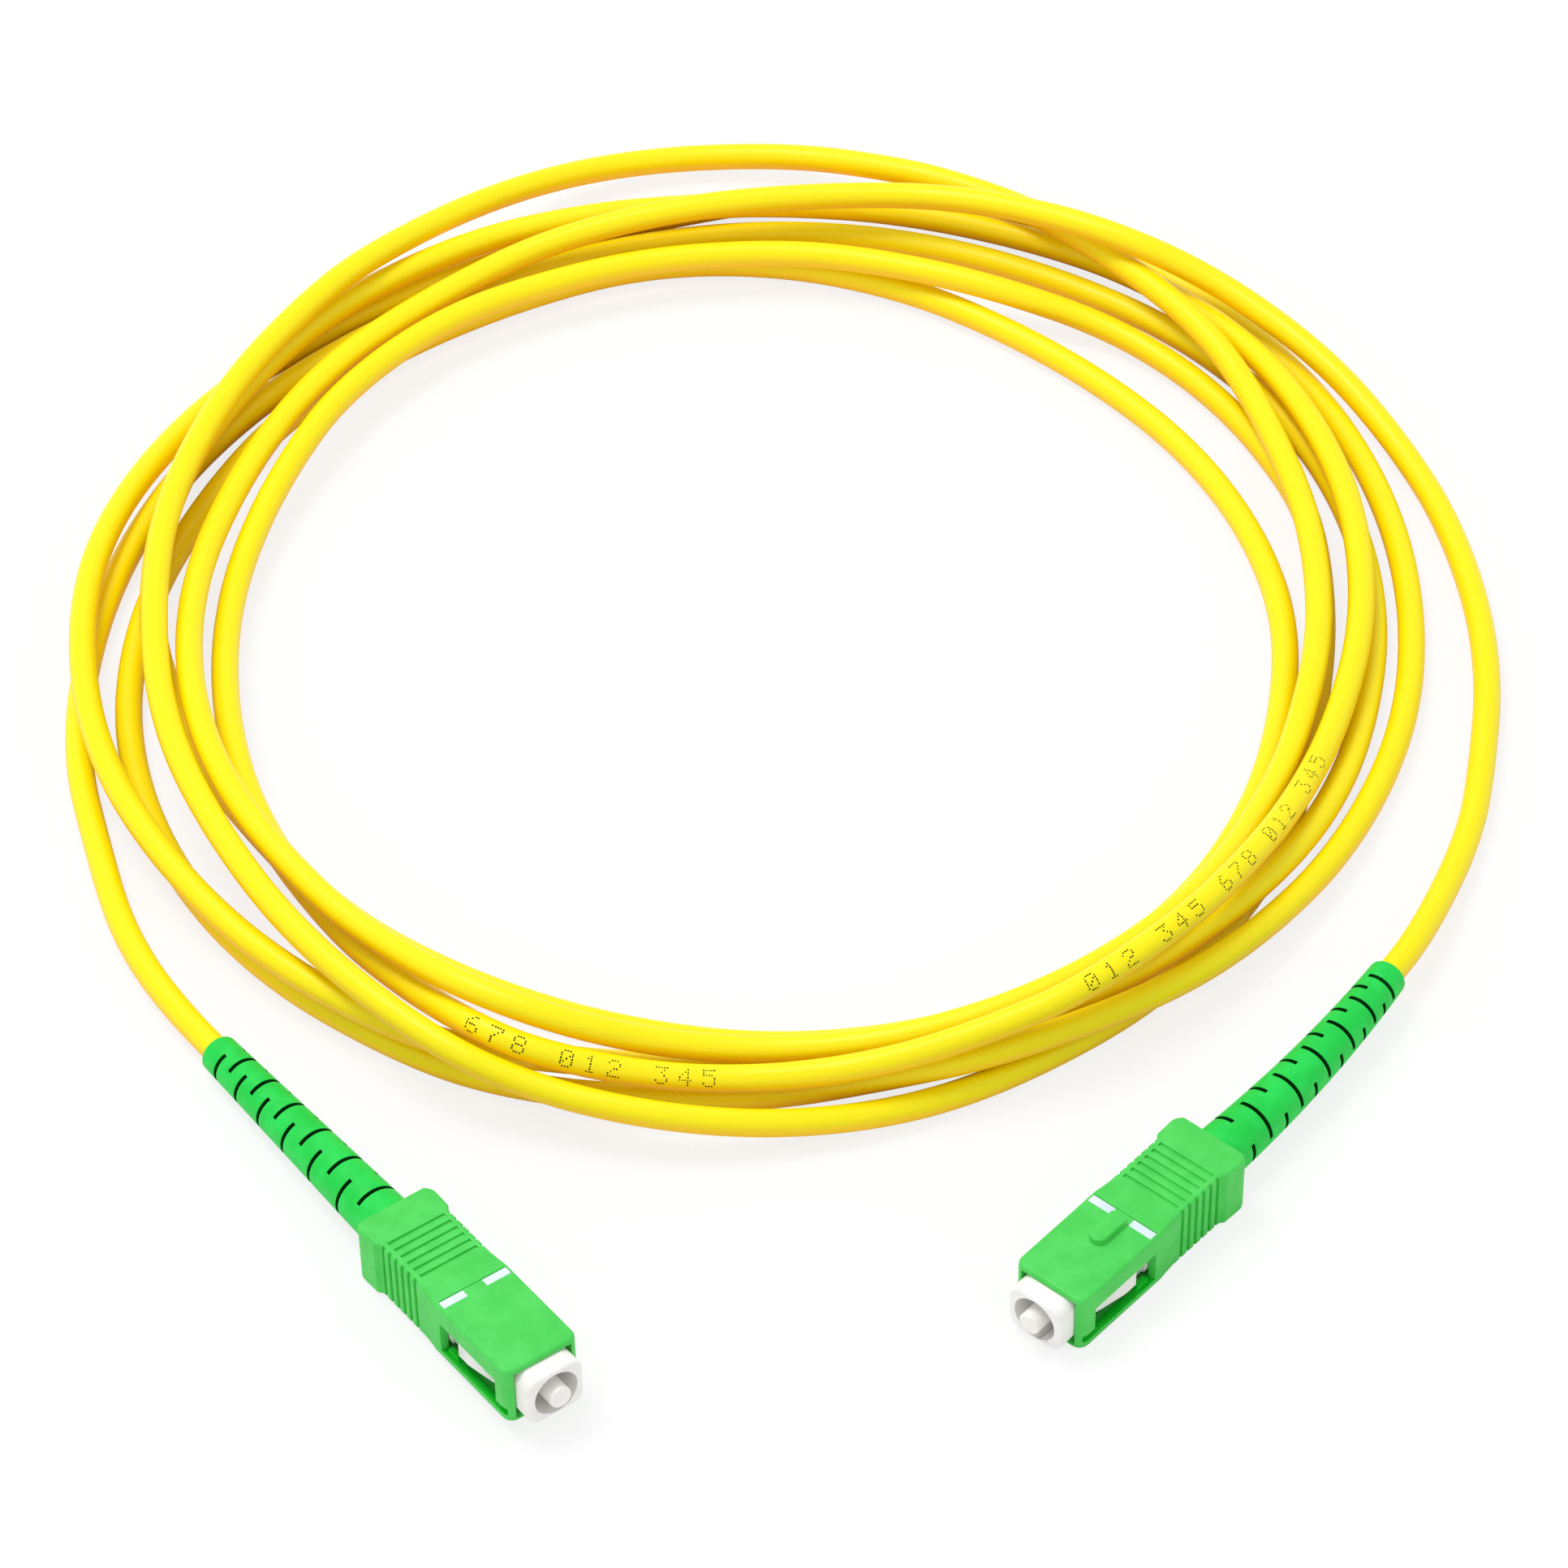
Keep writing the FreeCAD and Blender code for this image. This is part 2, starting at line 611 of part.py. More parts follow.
def frame_shoulders():
    """A wedge on each flank, thickest at its rear, which the socket's latches hold."""
    front = WINDOW_FRONT + SLIDE_TRAVEL - SHOULDER_LEAD
    root = FRAME_WIDTH / 2 - OVERLAP
    reach = FRAME_WIDTH / 2 + SHOULDER_REACH
    high = WINDOW_TOP - SHOULDER_GAP
    wedges = []
    for side in (-1, 1):
        profile = Part.makePolygon([
            Vector(-front, side * root, SHOULDER_LOW),
            Vector(-front, side * FRAME_WIDTH / 2, SHOULDER_LOW),
            Vector(-SHOULDER_FULL, side * reach, SHOULDER_LOW),
            Vector(-SHOULDER_REAR, side * reach, SHOULDER_LOW),
            Vector(-SHOULDER_REAR, side * root, SHOULDER_LOW),
            Vector(-front, side * root, SHOULDER_LOW),
        ])
        wedges.append(Part.Face(profile).extrude(Vector(0, 0, high - SHOULDER_LOW)))
    return wedges


def frame_pockets():
    """A pocket in each flank under the shoulder and a shallower one behind it."""
    side = FRAME_WIDTH / 2
    high = WINDOW_TOP - SHOULDER_GAP
    under = both_flanks(POCKET_FRONT, SHOULDER_REAR, side - POCKET_DEPTH, HOUSING_WIDTH,
                        -POCKET_LOW, SHOULDER_LOW)
    behind = both_flanks(SHOULDER_REAR, REAR_POCKET_END, side - REAR_POCKET_DEPTH, HOUSING_WIDTH,
                         -POCKET_LOW, high)
    return under + behind


def plug_frame(plug):
    body = rounded_bar(FRAME_WIDTH, FRAME_HEIGHT, FRAME_ROUND, -FRAME_FRONT, FRAME_REAR)
    nose = [edge for edge in body.Edges if abs(edge.BoundBox.XMin - FRAME_FRONT) < 1e-6]
    body = body.makeFillet(FRAME_FRONT_ROUND, nose)
    body = union([body] + as_it_lies(frame_shoulders(), plug))
    cuts = [
        rod(FRONT_BORE / 2, -FRAME_FRONT - 1, SEAT_FRONT),
        rod(SEAT_HOLE / 2, SEAT_FRONT - 1, SEAT_REAR + 1),
        rod(REAR_BORE / 2, SEAT_REAR, FRAME_REAR + 1),
    ]
    return body.cut(cuts + latch_windows(LATCH_CLEARANCE) + as_it_lies(frame_pockets(), plug))


def tip_slope():
    """The block that the tip's slanting grind takes away."""
    reach = FERRULE_DIAMETER
    slope = block(-FERRULE_LENGTH, 0, -reach, reach, -reach, reach)
    slope.rotate(Vector(0, 0, 0), Vector(0, 1, 0), TIP_ANGLE)
    slope.translate(Vector(FERRULE_TIP, 0, 0))
    return slope


def ferrule():
    """A ground rod, stepped down to a shank where the flange grips it."""
    rear = FERRULE_LENGTH - FERRULE_TIP
    step = SEAT_REAR - SHANK_GAP
    shank = rod(FERRULE_SHANK / 2, step - SHANK_GAP, rear)
    body = union([rod(FERRULE_DIAMETER / 2, -FERRULE_TIP, step), shank])
    rim = [edge for edge in body.Edges if abs(edge.BoundBox.XMin - FERRULE_TIP) < 1e-6]
    body = body.makeChamfer(TIP_BEVEL, rim)
    return body.cut([tip_slope(), rod(FIBRE_DIAMETER / 2 + FIBRE_CLEARANCE, -FERRULE_TIP - 1, rear + 1)])


def optical_fibre():
    return rod(FIBRE_DIAMETER / 2, -FERRULE_TIP, FERRULE_LENGTH - FERRULE_TIP).cut(tip_slope())


def ferrule_flange():
    rear = SEAT_REAR + FLANGE_LENGTH
    head = rod(FLANGE_DIAMETER / 2, SEAT_REAR, SEAT_REAR + FLANGE_HEAD_LENGTH)
    barrel = rod(FLANGE_BARREL / 2, SEAT_REAR + FLANGE_HEAD_LENGTH - OVERLAP, rear)
    body = union([head, barrel])
    notches = []
    floor = FLANGE_DIAMETER / 2 - NOTCH_DEPTH
    for angle in (0, 90, 180, 270):
        notch = block(SEAT_REAR - 1, SEAT_REAR + FLANGE_HEAD_LENGTH / 2, floor, FLANGE_DIAMETER,
                      -NOTCH_WIDTH / 2, NOTCH_WIDTH / 2)
        notch.rotate(Vector(0, 0, 0), Vector(1, 0, 0), angle)
        notches.append(notch)
    body = body.cut(notches)
    ferrule_hole = rod(FERRULE_SHANK / 2, 0, FERRULE_LENGTH - FERRULE_TIP)
    buffer_hole = rod(BUFFER_DIAMETER / 2 + BUFFER_CLEARANCE, 0, rear + 1)
    return body.cut([ferrule_hole, buffer_hole])


def ferrule_spring():
    """A helix from the flange's head to the stop ring, four stations to a turn."""
    front = SEAT_REAR + FLANGE_HEAD_LENGTH + SPRING_WIRE / 2 + SPRING_SEAT_GAP
    rear = STOP_FRONT - SPRING_WIRE / 2 - SPRING_SEAT_GAP
    steps = SPRING_TURNS * 4
    radius = SPRING_MEAN / 2
    points = []
    for i in range(steps + 1):
        turn = math.pi / 2 * i
        along = front + (rear - front) * i / steps
        points.append(Vector(-along, radius * math.cos(turn), radius * math.sin(turn)))
    climb = (rear - front) / SPRING_TURNS / (2 * math.pi)
    first = Vector(-climb, 0, radius)
    last = Vector(-climb, 0, radius)
    arcs = biarcs(points, first, last)
    samples = [point for arc in arcs for point in arc[:-1]]
    print("spring gap to itself", round(least_gap(samples, SPRING_WIRE, radius * 3), 2))
    return pipe([arc_edge(arc) for arc in arcs], SPRING_WIRE)


def stop_ring():
    post_start = FRAME_REAR + COLLAR_LENGTH
    plug = rod(stop_radius(), STOP_FRONT, FRAME_REAR + OVERLAP)
    collar = rod(COLLAR_DIAMETER / 2, FRAME_REAR, post_start)
    post = rod(POST_DIAMETER / 2, post_start - OVERLAP, POST_END)
    body = union([plug, collar, post] + latch_windows(-LATCH_CLEARANCE))
    return body.cut(rod(STOP_BORE / 2, STOP_FRONT - 1, POST_END + 1))


def aramid_yarn():
    inner = POST_DIAMETER / 2 + CRIMP_GAP
    return ring(inner + YARN_THICKNESS, inner, CRIMP_FRONT, POST_END)


def crimp_radius():
    return POST_DIAMETER / 2 + YARN_THICKNESS + 2 * CRIMP_GAP + CRIMP_WALL


def crimp_ring():
    """One metal ring, wide over the yarn and narrow over the jacket."""
    wide = ring(crimp_radius(), crimp_radius() - CRIMP_WALL, CRIMP_FRONT, CRIMP_STEP)
    jacket = CABLE_DIAMETER / 2 + CRIMP_GAP
    step = ring(crimp_radius(), jacket, CRIMP_STEP, CRIMP_STEP + CRIMP_WALL)
    narrow = ring(jacket + CRIMP_WALL, jacket, CRIMP_STEP, CRIMP_END)
    return union([wide, step, narrow])


def guide_tube():
    return ring(GUIDE_DIAMETER / 2, GUIDE_BORE / 2, GUIDE_FRONT, GUIDE_END)


def buffer_tube():
    return rod(BUFFER_DIAMETER / 2, FERRULE_LENGTH - FERRULE_TIP + BUFFER_CLEARANCE, CABLE_START)


def boot_radius(distance):
    """The boot tapers evenly from the housing's rear edge to its tail."""
    share = max(0.0, (distance - HOUSING_LENGTH) / (BOOT_TAIL - HOUSING_LENGTH))
    return (BOOT_ROOT_DIAMETER + (BOOT_TAIL_DIAMETER - BOOT_ROOT_DIAMETER) * share) / 2


def slit_distances():
    """Rows of slits, closer together towards the tail."""
    distances = [SLIT_FIRST]
    for i in range(SLIT_ROWS - 1):
        share = i / (SLIT_ROWS - 2)
        step = SLIT_STEP_FIRST + (SLIT_STEP_LAST - SLIT_STEP_FIRST) * share
        distances.append(distances[-1] + step)
    return distances


def boot_loft(plug, radii):
    """A round body along the boot's centre line, from pairs of a distance and a radius."""
    circles = []
    for distance, radius in radii:
        circle = Part.makeCircle(radius, Vector(0, 0, 0), Vector(1, 0, 0))
        circles.append(Part.Wire([circle.transformed(boot_line(plug, distance).toMatrix())]))
    return Part.makeLoft(circles, True, True)


def bend_distances():
    """From the start of the bend to the boot's tail, in even steps."""
    step = (BOOT_TAIL - BEND_START) / BEND_STATIONS
    return [BEND_START + step * i for i in range(BEND_STATIONS + 1)]


def slit_pair(plug, distance, middle_angle):
    """Two opposite slits through the boot's wall. The angle counts from the plug's +Y towards its +Z."""
    pair = []
    radius = boot_radius(distance) + 1
    for side in (0, 180):
        sector = Part.makeCylinder(radius, SLIT_WIDTH, Vector(0, 0, 0), Vector(0, 0, 1), SLIT_ANGLE)
        sector.rotate(Vector(0, 0, 0), Vector(0, 0, 1), middle_angle + 90 + side - SLIT_ANGLE / 2)
        sector.rotate(Vector(0, 0, 0), Vector(0, 1, 0), 90)
        sector.translate(Vector(-SLIT_WIDTH / 2, 0, 0))
        pair.append(sector.transformed(boot_line(plug, distance).toMatrix()))
    return pair


def boot(plug):
    distances = [BOOT_FRONT, HOUSING_LENGTH] + bend_distances()
    body = boot_loft(plug, [(distance, boot_radius(distance)) for distance in distances])
    tail = boot_line(plug, BOOT_TAIL).Base
    tail_rim = [edge for edge in body.Edges if (edge.CenterOfMass - tail).Length < 1e-3]
    body = body.makeFillet(BOOT_TAIL_ROUND, tail_rim)
    cuts = []
    for i, distance in enumerate(slit_distances()):
        cuts += slit_pair(plug, distance, plug["slit_roll"] + 90 * (i % 2))
    cuts.append(rod(crimp_radius() + BOOT_FIT, BOOT_FRONT - 1, CRIMP_STEP + 2 * CRIMP_WALL))
    sleeve_room = CABLE_DIAMETER / 2 + CRIMP_GAP + CRIMP_WALL + BOOT_FIT
    cuts.append(rod(sleeve_room, BOOT_FRONT, CRIMP_END + CRIMP_WALL))
    bore = [BOOT_FRONT - 1] + bend_distances() + [BOOT_TAIL + 1]
    cuts.append(boot_loft(plug, [(distance, CABLE_DIAMETER / 2 + BOOT_FIT) for distance in bore]))
    return body.cut(cuts)


def plug_pieces(plug):
    return {
        "outer_housing": outer_housing(plug),
        "index_marks": index_marks(),
        "plug_frame": plug_frame(plug),
        "ferrule": ferrule(),
        "optical_fibre": optical_fibre(),
        "ferrule_flange": ferrule_flange(),
        "ferrule_spring": ferrule_spring(),
        "stop_ring": stop_ring(),
        "guide_tube": guide_tube(),
        "buffer_tube": buffer_tube(),
        "aramid_yarn": aramid_yarn(),
        "crimp_ring": crimp_ring(),
        "strain_relief_boot": boot(plug),
    }


# The cable

def in_plug(plug):
    """The cable's run from the stop ring to the tail of the boot, as edges."""
    bend = on_cable_line(plug, BEND_START)
    tail = on_cable_line(plug, BOOT_TAIL)
    edges = [Part.makeLine(on_cable_line(plug, CABLE_START), bend)]
    if plug["bend"]:
        edges.append(Part.Arc(bend, on_cable_line(plug, (BEND_START + BOOT_TAIL) / 2), tail).toShape())
    else:
        edges.append(Part.makeLine(bend, tail))
    return edges


def lead(plug, points):
    """A lead from inside its plug, out of the boot and on through the points."""
    return pipe(in_plug(plug) + rounded_route([on_cable_line(plug, BOOT_TAIL)] + points), CABLE_DIAMETER)


def cable_pieces():
    """Two leads and the coil between them, which meet end to end."""
    stations = coil_stations()
    lead_a = [seat_in_frame(*p) for p in LEAD_A] + [stations[0]]
    lead_b = [seat_in_frame(*p) for p in reversed(LEAD_B)] + [stations[-1]]
    enter = unit(stations[0] - lead_a[-2])
    leave = unit(lead_b[-2] - stations[-1])
    first = stations[0] + enter * CABLE_DIAMETER
    last = stations[-1] - leave * CABLE_DIAMETER
    arcs = biarcs([first] + stations[1:-1] + [last], enter, leave)
    turns = [Part.makeLine(stations[0], first)]
    turns += [arc_edge(arc) for arc in arcs]
    turns.append(Part.makeLine(last, stations[-1]))
    samples = [point for arc in arcs for point in arc[:-1]]
    gap = least_gap(samples, CABLE_DIAMETER, GAP_COUNTED_FROM)
    print("coil gap to itself", round(gap, 3), "wanted over", LEAST_GAP,
          "lowest", round(min(p.z for p in samples) - CABLE_DIAMETER / 2, 3))
    return {
        "cable_lead_a": lead(PLUG_A, lead_a),
        "cable_coil": pipe(turns, CABLE_DIAMETER),
        "cable_lead_b": lead(PLUG_B, lead_b),
    }


def write(name, shape):
    shape.exportStep("parts/" + name + ".step")


def main():
    os.makedirs("parts", exist_ok=True)
    plugs_box = FreeCAD.BoundBox()
    for suffix, plug in (("_a", PLUG_A), ("_b", PLUG_B)):
        placement = plug_placement(plug)
        for name, shape in plug_pieces(plug).items():
            placed = shape.transformed(placement.toMatrix())
            plugs_box.add(placed.optimalBoundingBox())
            print(name + suffix, "solids", len(placed.Solids), "volume", round(placed.Volume, 2),
                  "valid", placed.isValid())
            write(name + suffix, placed)
    for name, shape in cable_pieces().items():
        write(name, shape)
    print("plugs' middle", round(plugs_box.Center.x, 2), round(plugs_box.Center.y, 2),
          "lowest", round(plugs_box.ZMin, 3))


main()
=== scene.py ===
# %% [markdown]
# # A fiber optic patch cord
# This lesson dresses a patch cord: three metres of yellow cable in seven loose turns, with a green
# push-pull plug on each end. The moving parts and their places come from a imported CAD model, and
# here each piece that shows is modelled again with softer edges and gets its finish. Everything is
# in metres in the end, but the plugs are modelled in millimetres, because Blender's cuts are
# happier with numbers near one than with numbers near a thousandth.

# %% Load the frame
import math

import bmesh
import bpy
from mathutils import Matrix, Vector


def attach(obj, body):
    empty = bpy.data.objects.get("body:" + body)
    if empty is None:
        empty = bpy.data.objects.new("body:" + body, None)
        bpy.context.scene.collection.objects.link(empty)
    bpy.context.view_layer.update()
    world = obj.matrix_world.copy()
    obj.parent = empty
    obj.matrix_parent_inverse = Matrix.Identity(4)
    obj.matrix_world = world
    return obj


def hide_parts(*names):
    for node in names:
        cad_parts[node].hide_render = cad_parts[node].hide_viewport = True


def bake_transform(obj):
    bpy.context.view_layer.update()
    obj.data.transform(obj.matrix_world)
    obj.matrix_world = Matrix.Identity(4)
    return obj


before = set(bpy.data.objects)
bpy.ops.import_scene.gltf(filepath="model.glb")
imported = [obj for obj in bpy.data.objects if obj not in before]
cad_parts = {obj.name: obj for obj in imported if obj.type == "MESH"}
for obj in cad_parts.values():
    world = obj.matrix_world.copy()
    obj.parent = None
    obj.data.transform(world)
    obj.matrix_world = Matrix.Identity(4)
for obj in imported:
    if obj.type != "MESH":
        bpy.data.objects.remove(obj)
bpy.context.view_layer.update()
MM = 0.001

# %% [markdown]
# ## The camera
# The photograph looks down at 45 degrees from about 0.9 m away through a long lens, so near and far
# turns are almost the same width. The camera is set first, because the coil's turns were placed
# along its lines of sight.

# %% Camera
ORIGIN = (2.26, -62.36)
EYE_Y = -641.9
EYE_HEIGHT = 641.9
EYE = Vector((-ORIGIN[0], EYE_Y - ORIGIN[1], EYE_HEIGHT)) * MM
TARGET = Vector((-ORIGIN[0], -ORIGIN[1], 0.0)) * MM
LENS = 192.0
SENSOR = 36.0

camera_data = bpy.data.cameras.new("camera")
camera_data.lens = LENS
camera_data.sensor_width = SENSOR
camera_data.clip_start = 0.01
camera = bpy.data.objects.new("camera", camera_data)
bpy.context.scene.collection.objects.link(camera)
camera.location = EYE
camera.rotation_mode = "QUATERNION"
camera.rotation_quaternion = (TARGET - EYE).to_track_quat("-Z", "Y")
bpy.context.scene.camera = camera
bpy.context.scene.view_settings.view_transform = "Standard"

# %% [markdown]
# ## Where the plugs and the turns lie
# These are the driving sizes of the CAD model, in millimetres. A plug is drawn along its own axis
# with +X towards its mating face and x = 0 at the housing's front edge. Then it is rolled, lifted
# and turned to its place. Plug A lies on its key and plug B shows its key.

# %% Places
HOUSING_LENGTH = 27.0
HOUSING_WIDTH = 9.0
HOUSING_HEIGHT = 7.4
KEY_HEIGHT = 0.75
KEY_REAR = 11.5
BOOT_TAIL = 59.7
BEND_START = 31.0
PLUGS = {
    "a": {"front": (-24.1, -89.85), "heading": -53.7, "tilt": 2.75, "roll": 180.0,
          "slit_roll": 75.5, "bend": 0.0},
    "b": {"front": (26.75, -78.9), "heading": -130.6, "tilt": 0.0, "roll": 0.0,
          "slit_roll": 148.5, "bend": 9.0},
}


def in_frame(x, y, z):
    return Vector((x - ORIGIN[0], y - ORIGIN[1], z))


def front_height(plug):
    """Key up, a plug lies on its flat face. Key down, it lies tilted on the rear end of its key."""
    if not plug["roll"]:
        return HOUSING_HEIGHT / 2
    tilt = math.radians(plug["tilt"])
    return KEY_REAR * math.sin(tilt) + (HOUSING_HEIGHT / 2 + KEY_HEIGHT) * math.cos(tilt)


def placement(plug):
    """The matrix that takes a plug from its own axis, in mm, to its place, in mm."""
    place = Matrix.Translation(in_frame(plug["front"][0], plug["front"][1], front_height(plug)))
    turn = Matrix.Rotation(math.radians(plug["heading"]), 4, "Z")
    tilt = Matrix.Rotation(math.radians(-plug["tilt"]), 4, "Y")
    roll = Matrix.Rotation(math.radians(plug["roll"]), 4, "X")
    return place @ turn @ tilt @ roll


def boot_frame(plug, distance):
    """The boot's centre line at a distance behind the front, and its heading. A bent boot is an arc."""
    past = distance - BEND_START
    if past <= 0 or not plug["bend"]:
        return Matrix.Translation((-distance, 0, 0))
    radius = (BOOT_TAIL - BEND_START) / math.radians(plug["bend"])
    turned = past / radius
    place = (-BEND_START - radius * math.sin(turned), -radius * (1 - math.cos(turned)), 0)
    return Matrix.Translation(place) @ Matrix.Rotation(turned, 4, "Z")


def on_axis(plug, distance):
    return (placement(plug) @ boot_frame(plug, distance)).translation


# %% [markdown]
# ## The route of the cable
# A patch cord's cable is stiff enough to hang in round, even turns and springy enough that they
# never lie quite on top of each other. Each turn is a row of stations: an angle, the radius where
# the eye sees it and the height of the strand there. One formula moves a station along its line of
# sight to its height, so the picture stays the same while the strands pass over each other.

# %% Stations of the coil
CABLE_DIAMETER = 3.0
LEAD_A = ((-63.4, -36.3, 1.9), (-67.4, -29.9, 1.8), (-70.7, -22.6, 1.8))
LEAD_B = ((73.1, -11.3, 1.8), (70.2, -19.3, 2.5), (66.8, -27.4, 3.6))
RADIUS_STEP = 0.908
COIL_CENTRE = (-0.9, 24.5)
SEEN_HEIGHT = 1.8
TURNS = (
    (
        (62, 90.1, 1.7), (75, 86.5, 1.7), (90, 82.1, 1.7), (105, 78.5, 1.7), (120, 75, 1.7),
        (135, 72, 1.7), (150, 70, 1.7), (165, 70, 1.7), (180, 70.2, 1.7), (195, 70.4, 1.7),
        (210, 70.7, 1.7), (225, 71.8, 1.7), (240, 72.5, 1.7), (255, 72.7, 1.7), (270, 72.7, 1.7),
        (285, 72.8, 1.7), (297, 73.2, 3.6), (308, 73, 5.1), (320, 72.9, 5.2), (330, 73.3, 5.1),
        (340, 74.2, 4.0), (350, 74.9, 2.4),
    ),
    (
        (0, 75.6, 1.7), (10, 76.3, 1.9), (20, 78.2, 4.5), (30, 81.2, 5.3), (45, 82.3, 5.1),
        (60, 83, 5.1), (75, 84.1, 5.1), (90, 84.2, 5.1), (103, 83.2, 4.7), (117, 80.4, 2.1),
        (130, 77.1, 1.7), (142, 74.9, 1.7), (150, 73.9, 1.7), (160, 74, 1.7), (170, 75, 1.7),
        (180, 76.8, 1.7), (195, 79.2, 1.7), (210, 79.7, 1.7), (225, 78.8, 1.7), (240, 78.2, 1.7),
        (255, 77.5, 1.7), (270, 77.2, 1.7), (285, 77.5, 1.7), (300, 77.7, 2.2), (313, 77.6, 3.7),
        (325, 77.3, 5.1), (340, 77, 5.2), (350, 77.5, 3.7),
    ),
    (
        (0, 79.4, 1.7), (10, 81.2, 1.7), (20, 83.2, 1.7), (30, 84, 1.7), (45, 84, 1.7),
        (60, 82.6, 1.7), (75, 80.2, 1.7), (90, 76.7, 1.7), (105, 72.9, 1.7), (120, 70.5, 1.7),
        (135, 67.7, 1.7), (150, 66.2, 1.7), (165, 65.9, 1.7), (180, 64.2, 1.7), (195, 61.7, 1.7),
        (210, 59.2, 1.7), (225, 58.3, 1.7), (240, 58.8, 1.7), (255, 59.9, 1.7), (270, 61.5, 1.7),
        (285, 62.9, 1.7), (300, 65.4, 1.7), (315, 68.2, 1.7), (330, 70.4, 1.7), (345, 71.5, 1.7),
    ),
    (
        (0, 71.7, 1.7), (15, 71.2, 1.7), (30, 71.1, 1.7), (45, 71.6, 1.7), (60, 71.6, 1.7),
        (70, 72.8, 2.1), (80, 74.3, 3.6), (90, 75.8, 5.1), (105, 77.4, 5.1), (120, 78.2, 5.1),
        (135, 78.9, 5.1), (150, 78.6, 5.1), (162, 77.3, 5.1), (171, 76.2, 4.9), (180, 76, 3.9),
        (192, 76, 2.9), (205, 76.3, 2.3), (217, 77, 3.2), (230, 76.7, 4.6), (242, 75.2, 5.3),
        (255, 73.3, 5.3), (270, 71.2, 5.1), (285, 69.7, 5.4), (297, 69.4, 7.4), (307, 69.5, 10.0),
        (317, 70.2, 11.1), (330, 71.9, 10.7), (340, 73.3, 9.0), (350, 75.2, 7.4),
    ),
    (
        (0, 76.7, 5.4), (10, 77.6, 5.8), (20, 77.6, 8.0), (27, 76.8, 8.8), (35, 75.3, 6.0),
        (45, 73.3, 5.1), (60, 70.6, 5.2), (75, 68.1, 4.7), (90, 66.5, 3.2), (105, 65.8, 3.8),
        (120, 66.6, 5.1), (130, 67.4, 5.1), (140, 67.8, 5.1), (150, 67.5, 5.1), (165, 67, 5.1),
        (180, 66.5, 5.1), (192, 66, 5.2), (205, 65.9, 4.8), (220, 67, 2.2), (235, 67.5, 1.7),
        (250, 67.7, 1.7), (260, 67.1, 1.7), (272, 66.4, 1.7), (284, 66.8, 1.7), (295, 68.9, 1.7),
        (305, 71.7, 1.7), (315, 74.4, 1.7), (327, 77.6, 1.7), (340, 80.7, 1.7), (350, 83, 2.0),
    ),
    (
        (0, 83.9, 3.2), (10, 83.7, 4.9), (20, 82.8, 6.1), (30, 80.8, 8.6), (45, 77.6, 8.8),
        (60, 75.6, 8.5), (75, 75.4, 8.8), (90, 75.6, 8.9), (105, 77.4, 8.7), (120, 79.4, 8.5),
        (132, 81.5, 8.6), (142, 83.6, 8.4), (155, 85.4, 5.6), (167, 86, 2.8), (180, 85.4, 2.8),
        (190, 84.2, 5.0), (197, 82.9, 5.5), (205, 81, 5.9), (215, 77.8, 6.5), (225, 75, 6.1),
        (235, 71.8, 5.3), (250, 68.3, 5.1), (262, 66.7, 5.1), (275, 65.8, 5.2), (290, 65.8, 5.2),
        (300, 66.5, 5.6), (310, 67.9, 7.6), (320, 69, 8.6), (330, 70, 8.5), (340, 71, 7.7),
        (350, 71.9, 6.4),
    ),
    (
        (0, 72.3, 5.1), (10, 72.4, 6.3), (20, 72.1, 9.7), (30, 71.8, 11.1), (40, 71.7, 9.0),
        (50, 71.4, 8.7), (65, 71.5, 8.7), (80, 71.5, 8.2), (95, 71, 6.2), (110, 70.5, 5.3),
        (123, 71.1, 5.3), (135, 71.8, 5.3), (150, 73.1, 5.4), (160, 74.6, 6.6), (171, 76, 7.9),
        (182, 77.4, 8.0), (193, 79.7, 8.2), (202, 81.2, 9.3), (211, 82.2, 10.3), (222, 82.6, 7.5),
        (235, 82.7, 5.2), (247, 82.9, 2.8), (260, 84.2, 1.7), (275, 86.3, 1.7), (290, 89.2, 1.7),
    ),
)


def coil_station(angle, seen_radius, height):
    turn = math.radians(angle)
    radius = seen_radius * RADIUS_STEP
    x = COIL_CENTRE[0] - radius * math.sin(turn)
    y = COIL_CENTRE[1] - radius * math.cos(turn)
    scale = (EYE_HEIGHT - height) / (EYE_HEIGHT - SEEN_HEIGHT)
    return in_frame(x * scale, EYE_Y + (y - EYE_Y) * scale, height)


stations = [coil_station(*station) for turn in TURNS for station in turn]
print("coil stations:", len(stations))

# %% [markdown]
# ## The cable
# A cable bends smoothly, so its line is one NURBS curve. A curve of order 3 passes inside its
# control points, so each station is moved outwards by an eighth of the bend there, and the curve
# then runs through the stations. The jacket is swept along that curve as a mesh, because a mesh
# can carry two coordinates of its own: how far along the cable a point is, and how far round it.

# %% The cable's line
INSIDE_BOOT = (31.0, 38.0, 45.0, 52.0, BOOT_TAIL)


def through(points):
    """Control points that make an order 3 curve run through these points."""
    moved = [points[0]]
    for before, here, after in zip(points, points[1:], points[2:]):
        moved.append(here - (before - 2 * here + after) / 8)
    return moved + [points[-1]]


def curve_of(name, points):
    data = bpy.data.curves.new(name, "CURVE")
    data.dimensions = "3D"
    spline = data.splines.new("NURBS")
    spline.points.add(len(points) - 1)
    for target, point in zip(spline.points, points):
        target.co = (point.x, point.y, point.z, 1.0)
    spline.order_u = 3
    spline.use_endpoint_u = True
    spline.resolution_u = 10
    made = bpy.data.objects.new(name, data)
    bpy.context.scene.collection.objects.link(made)
    return made


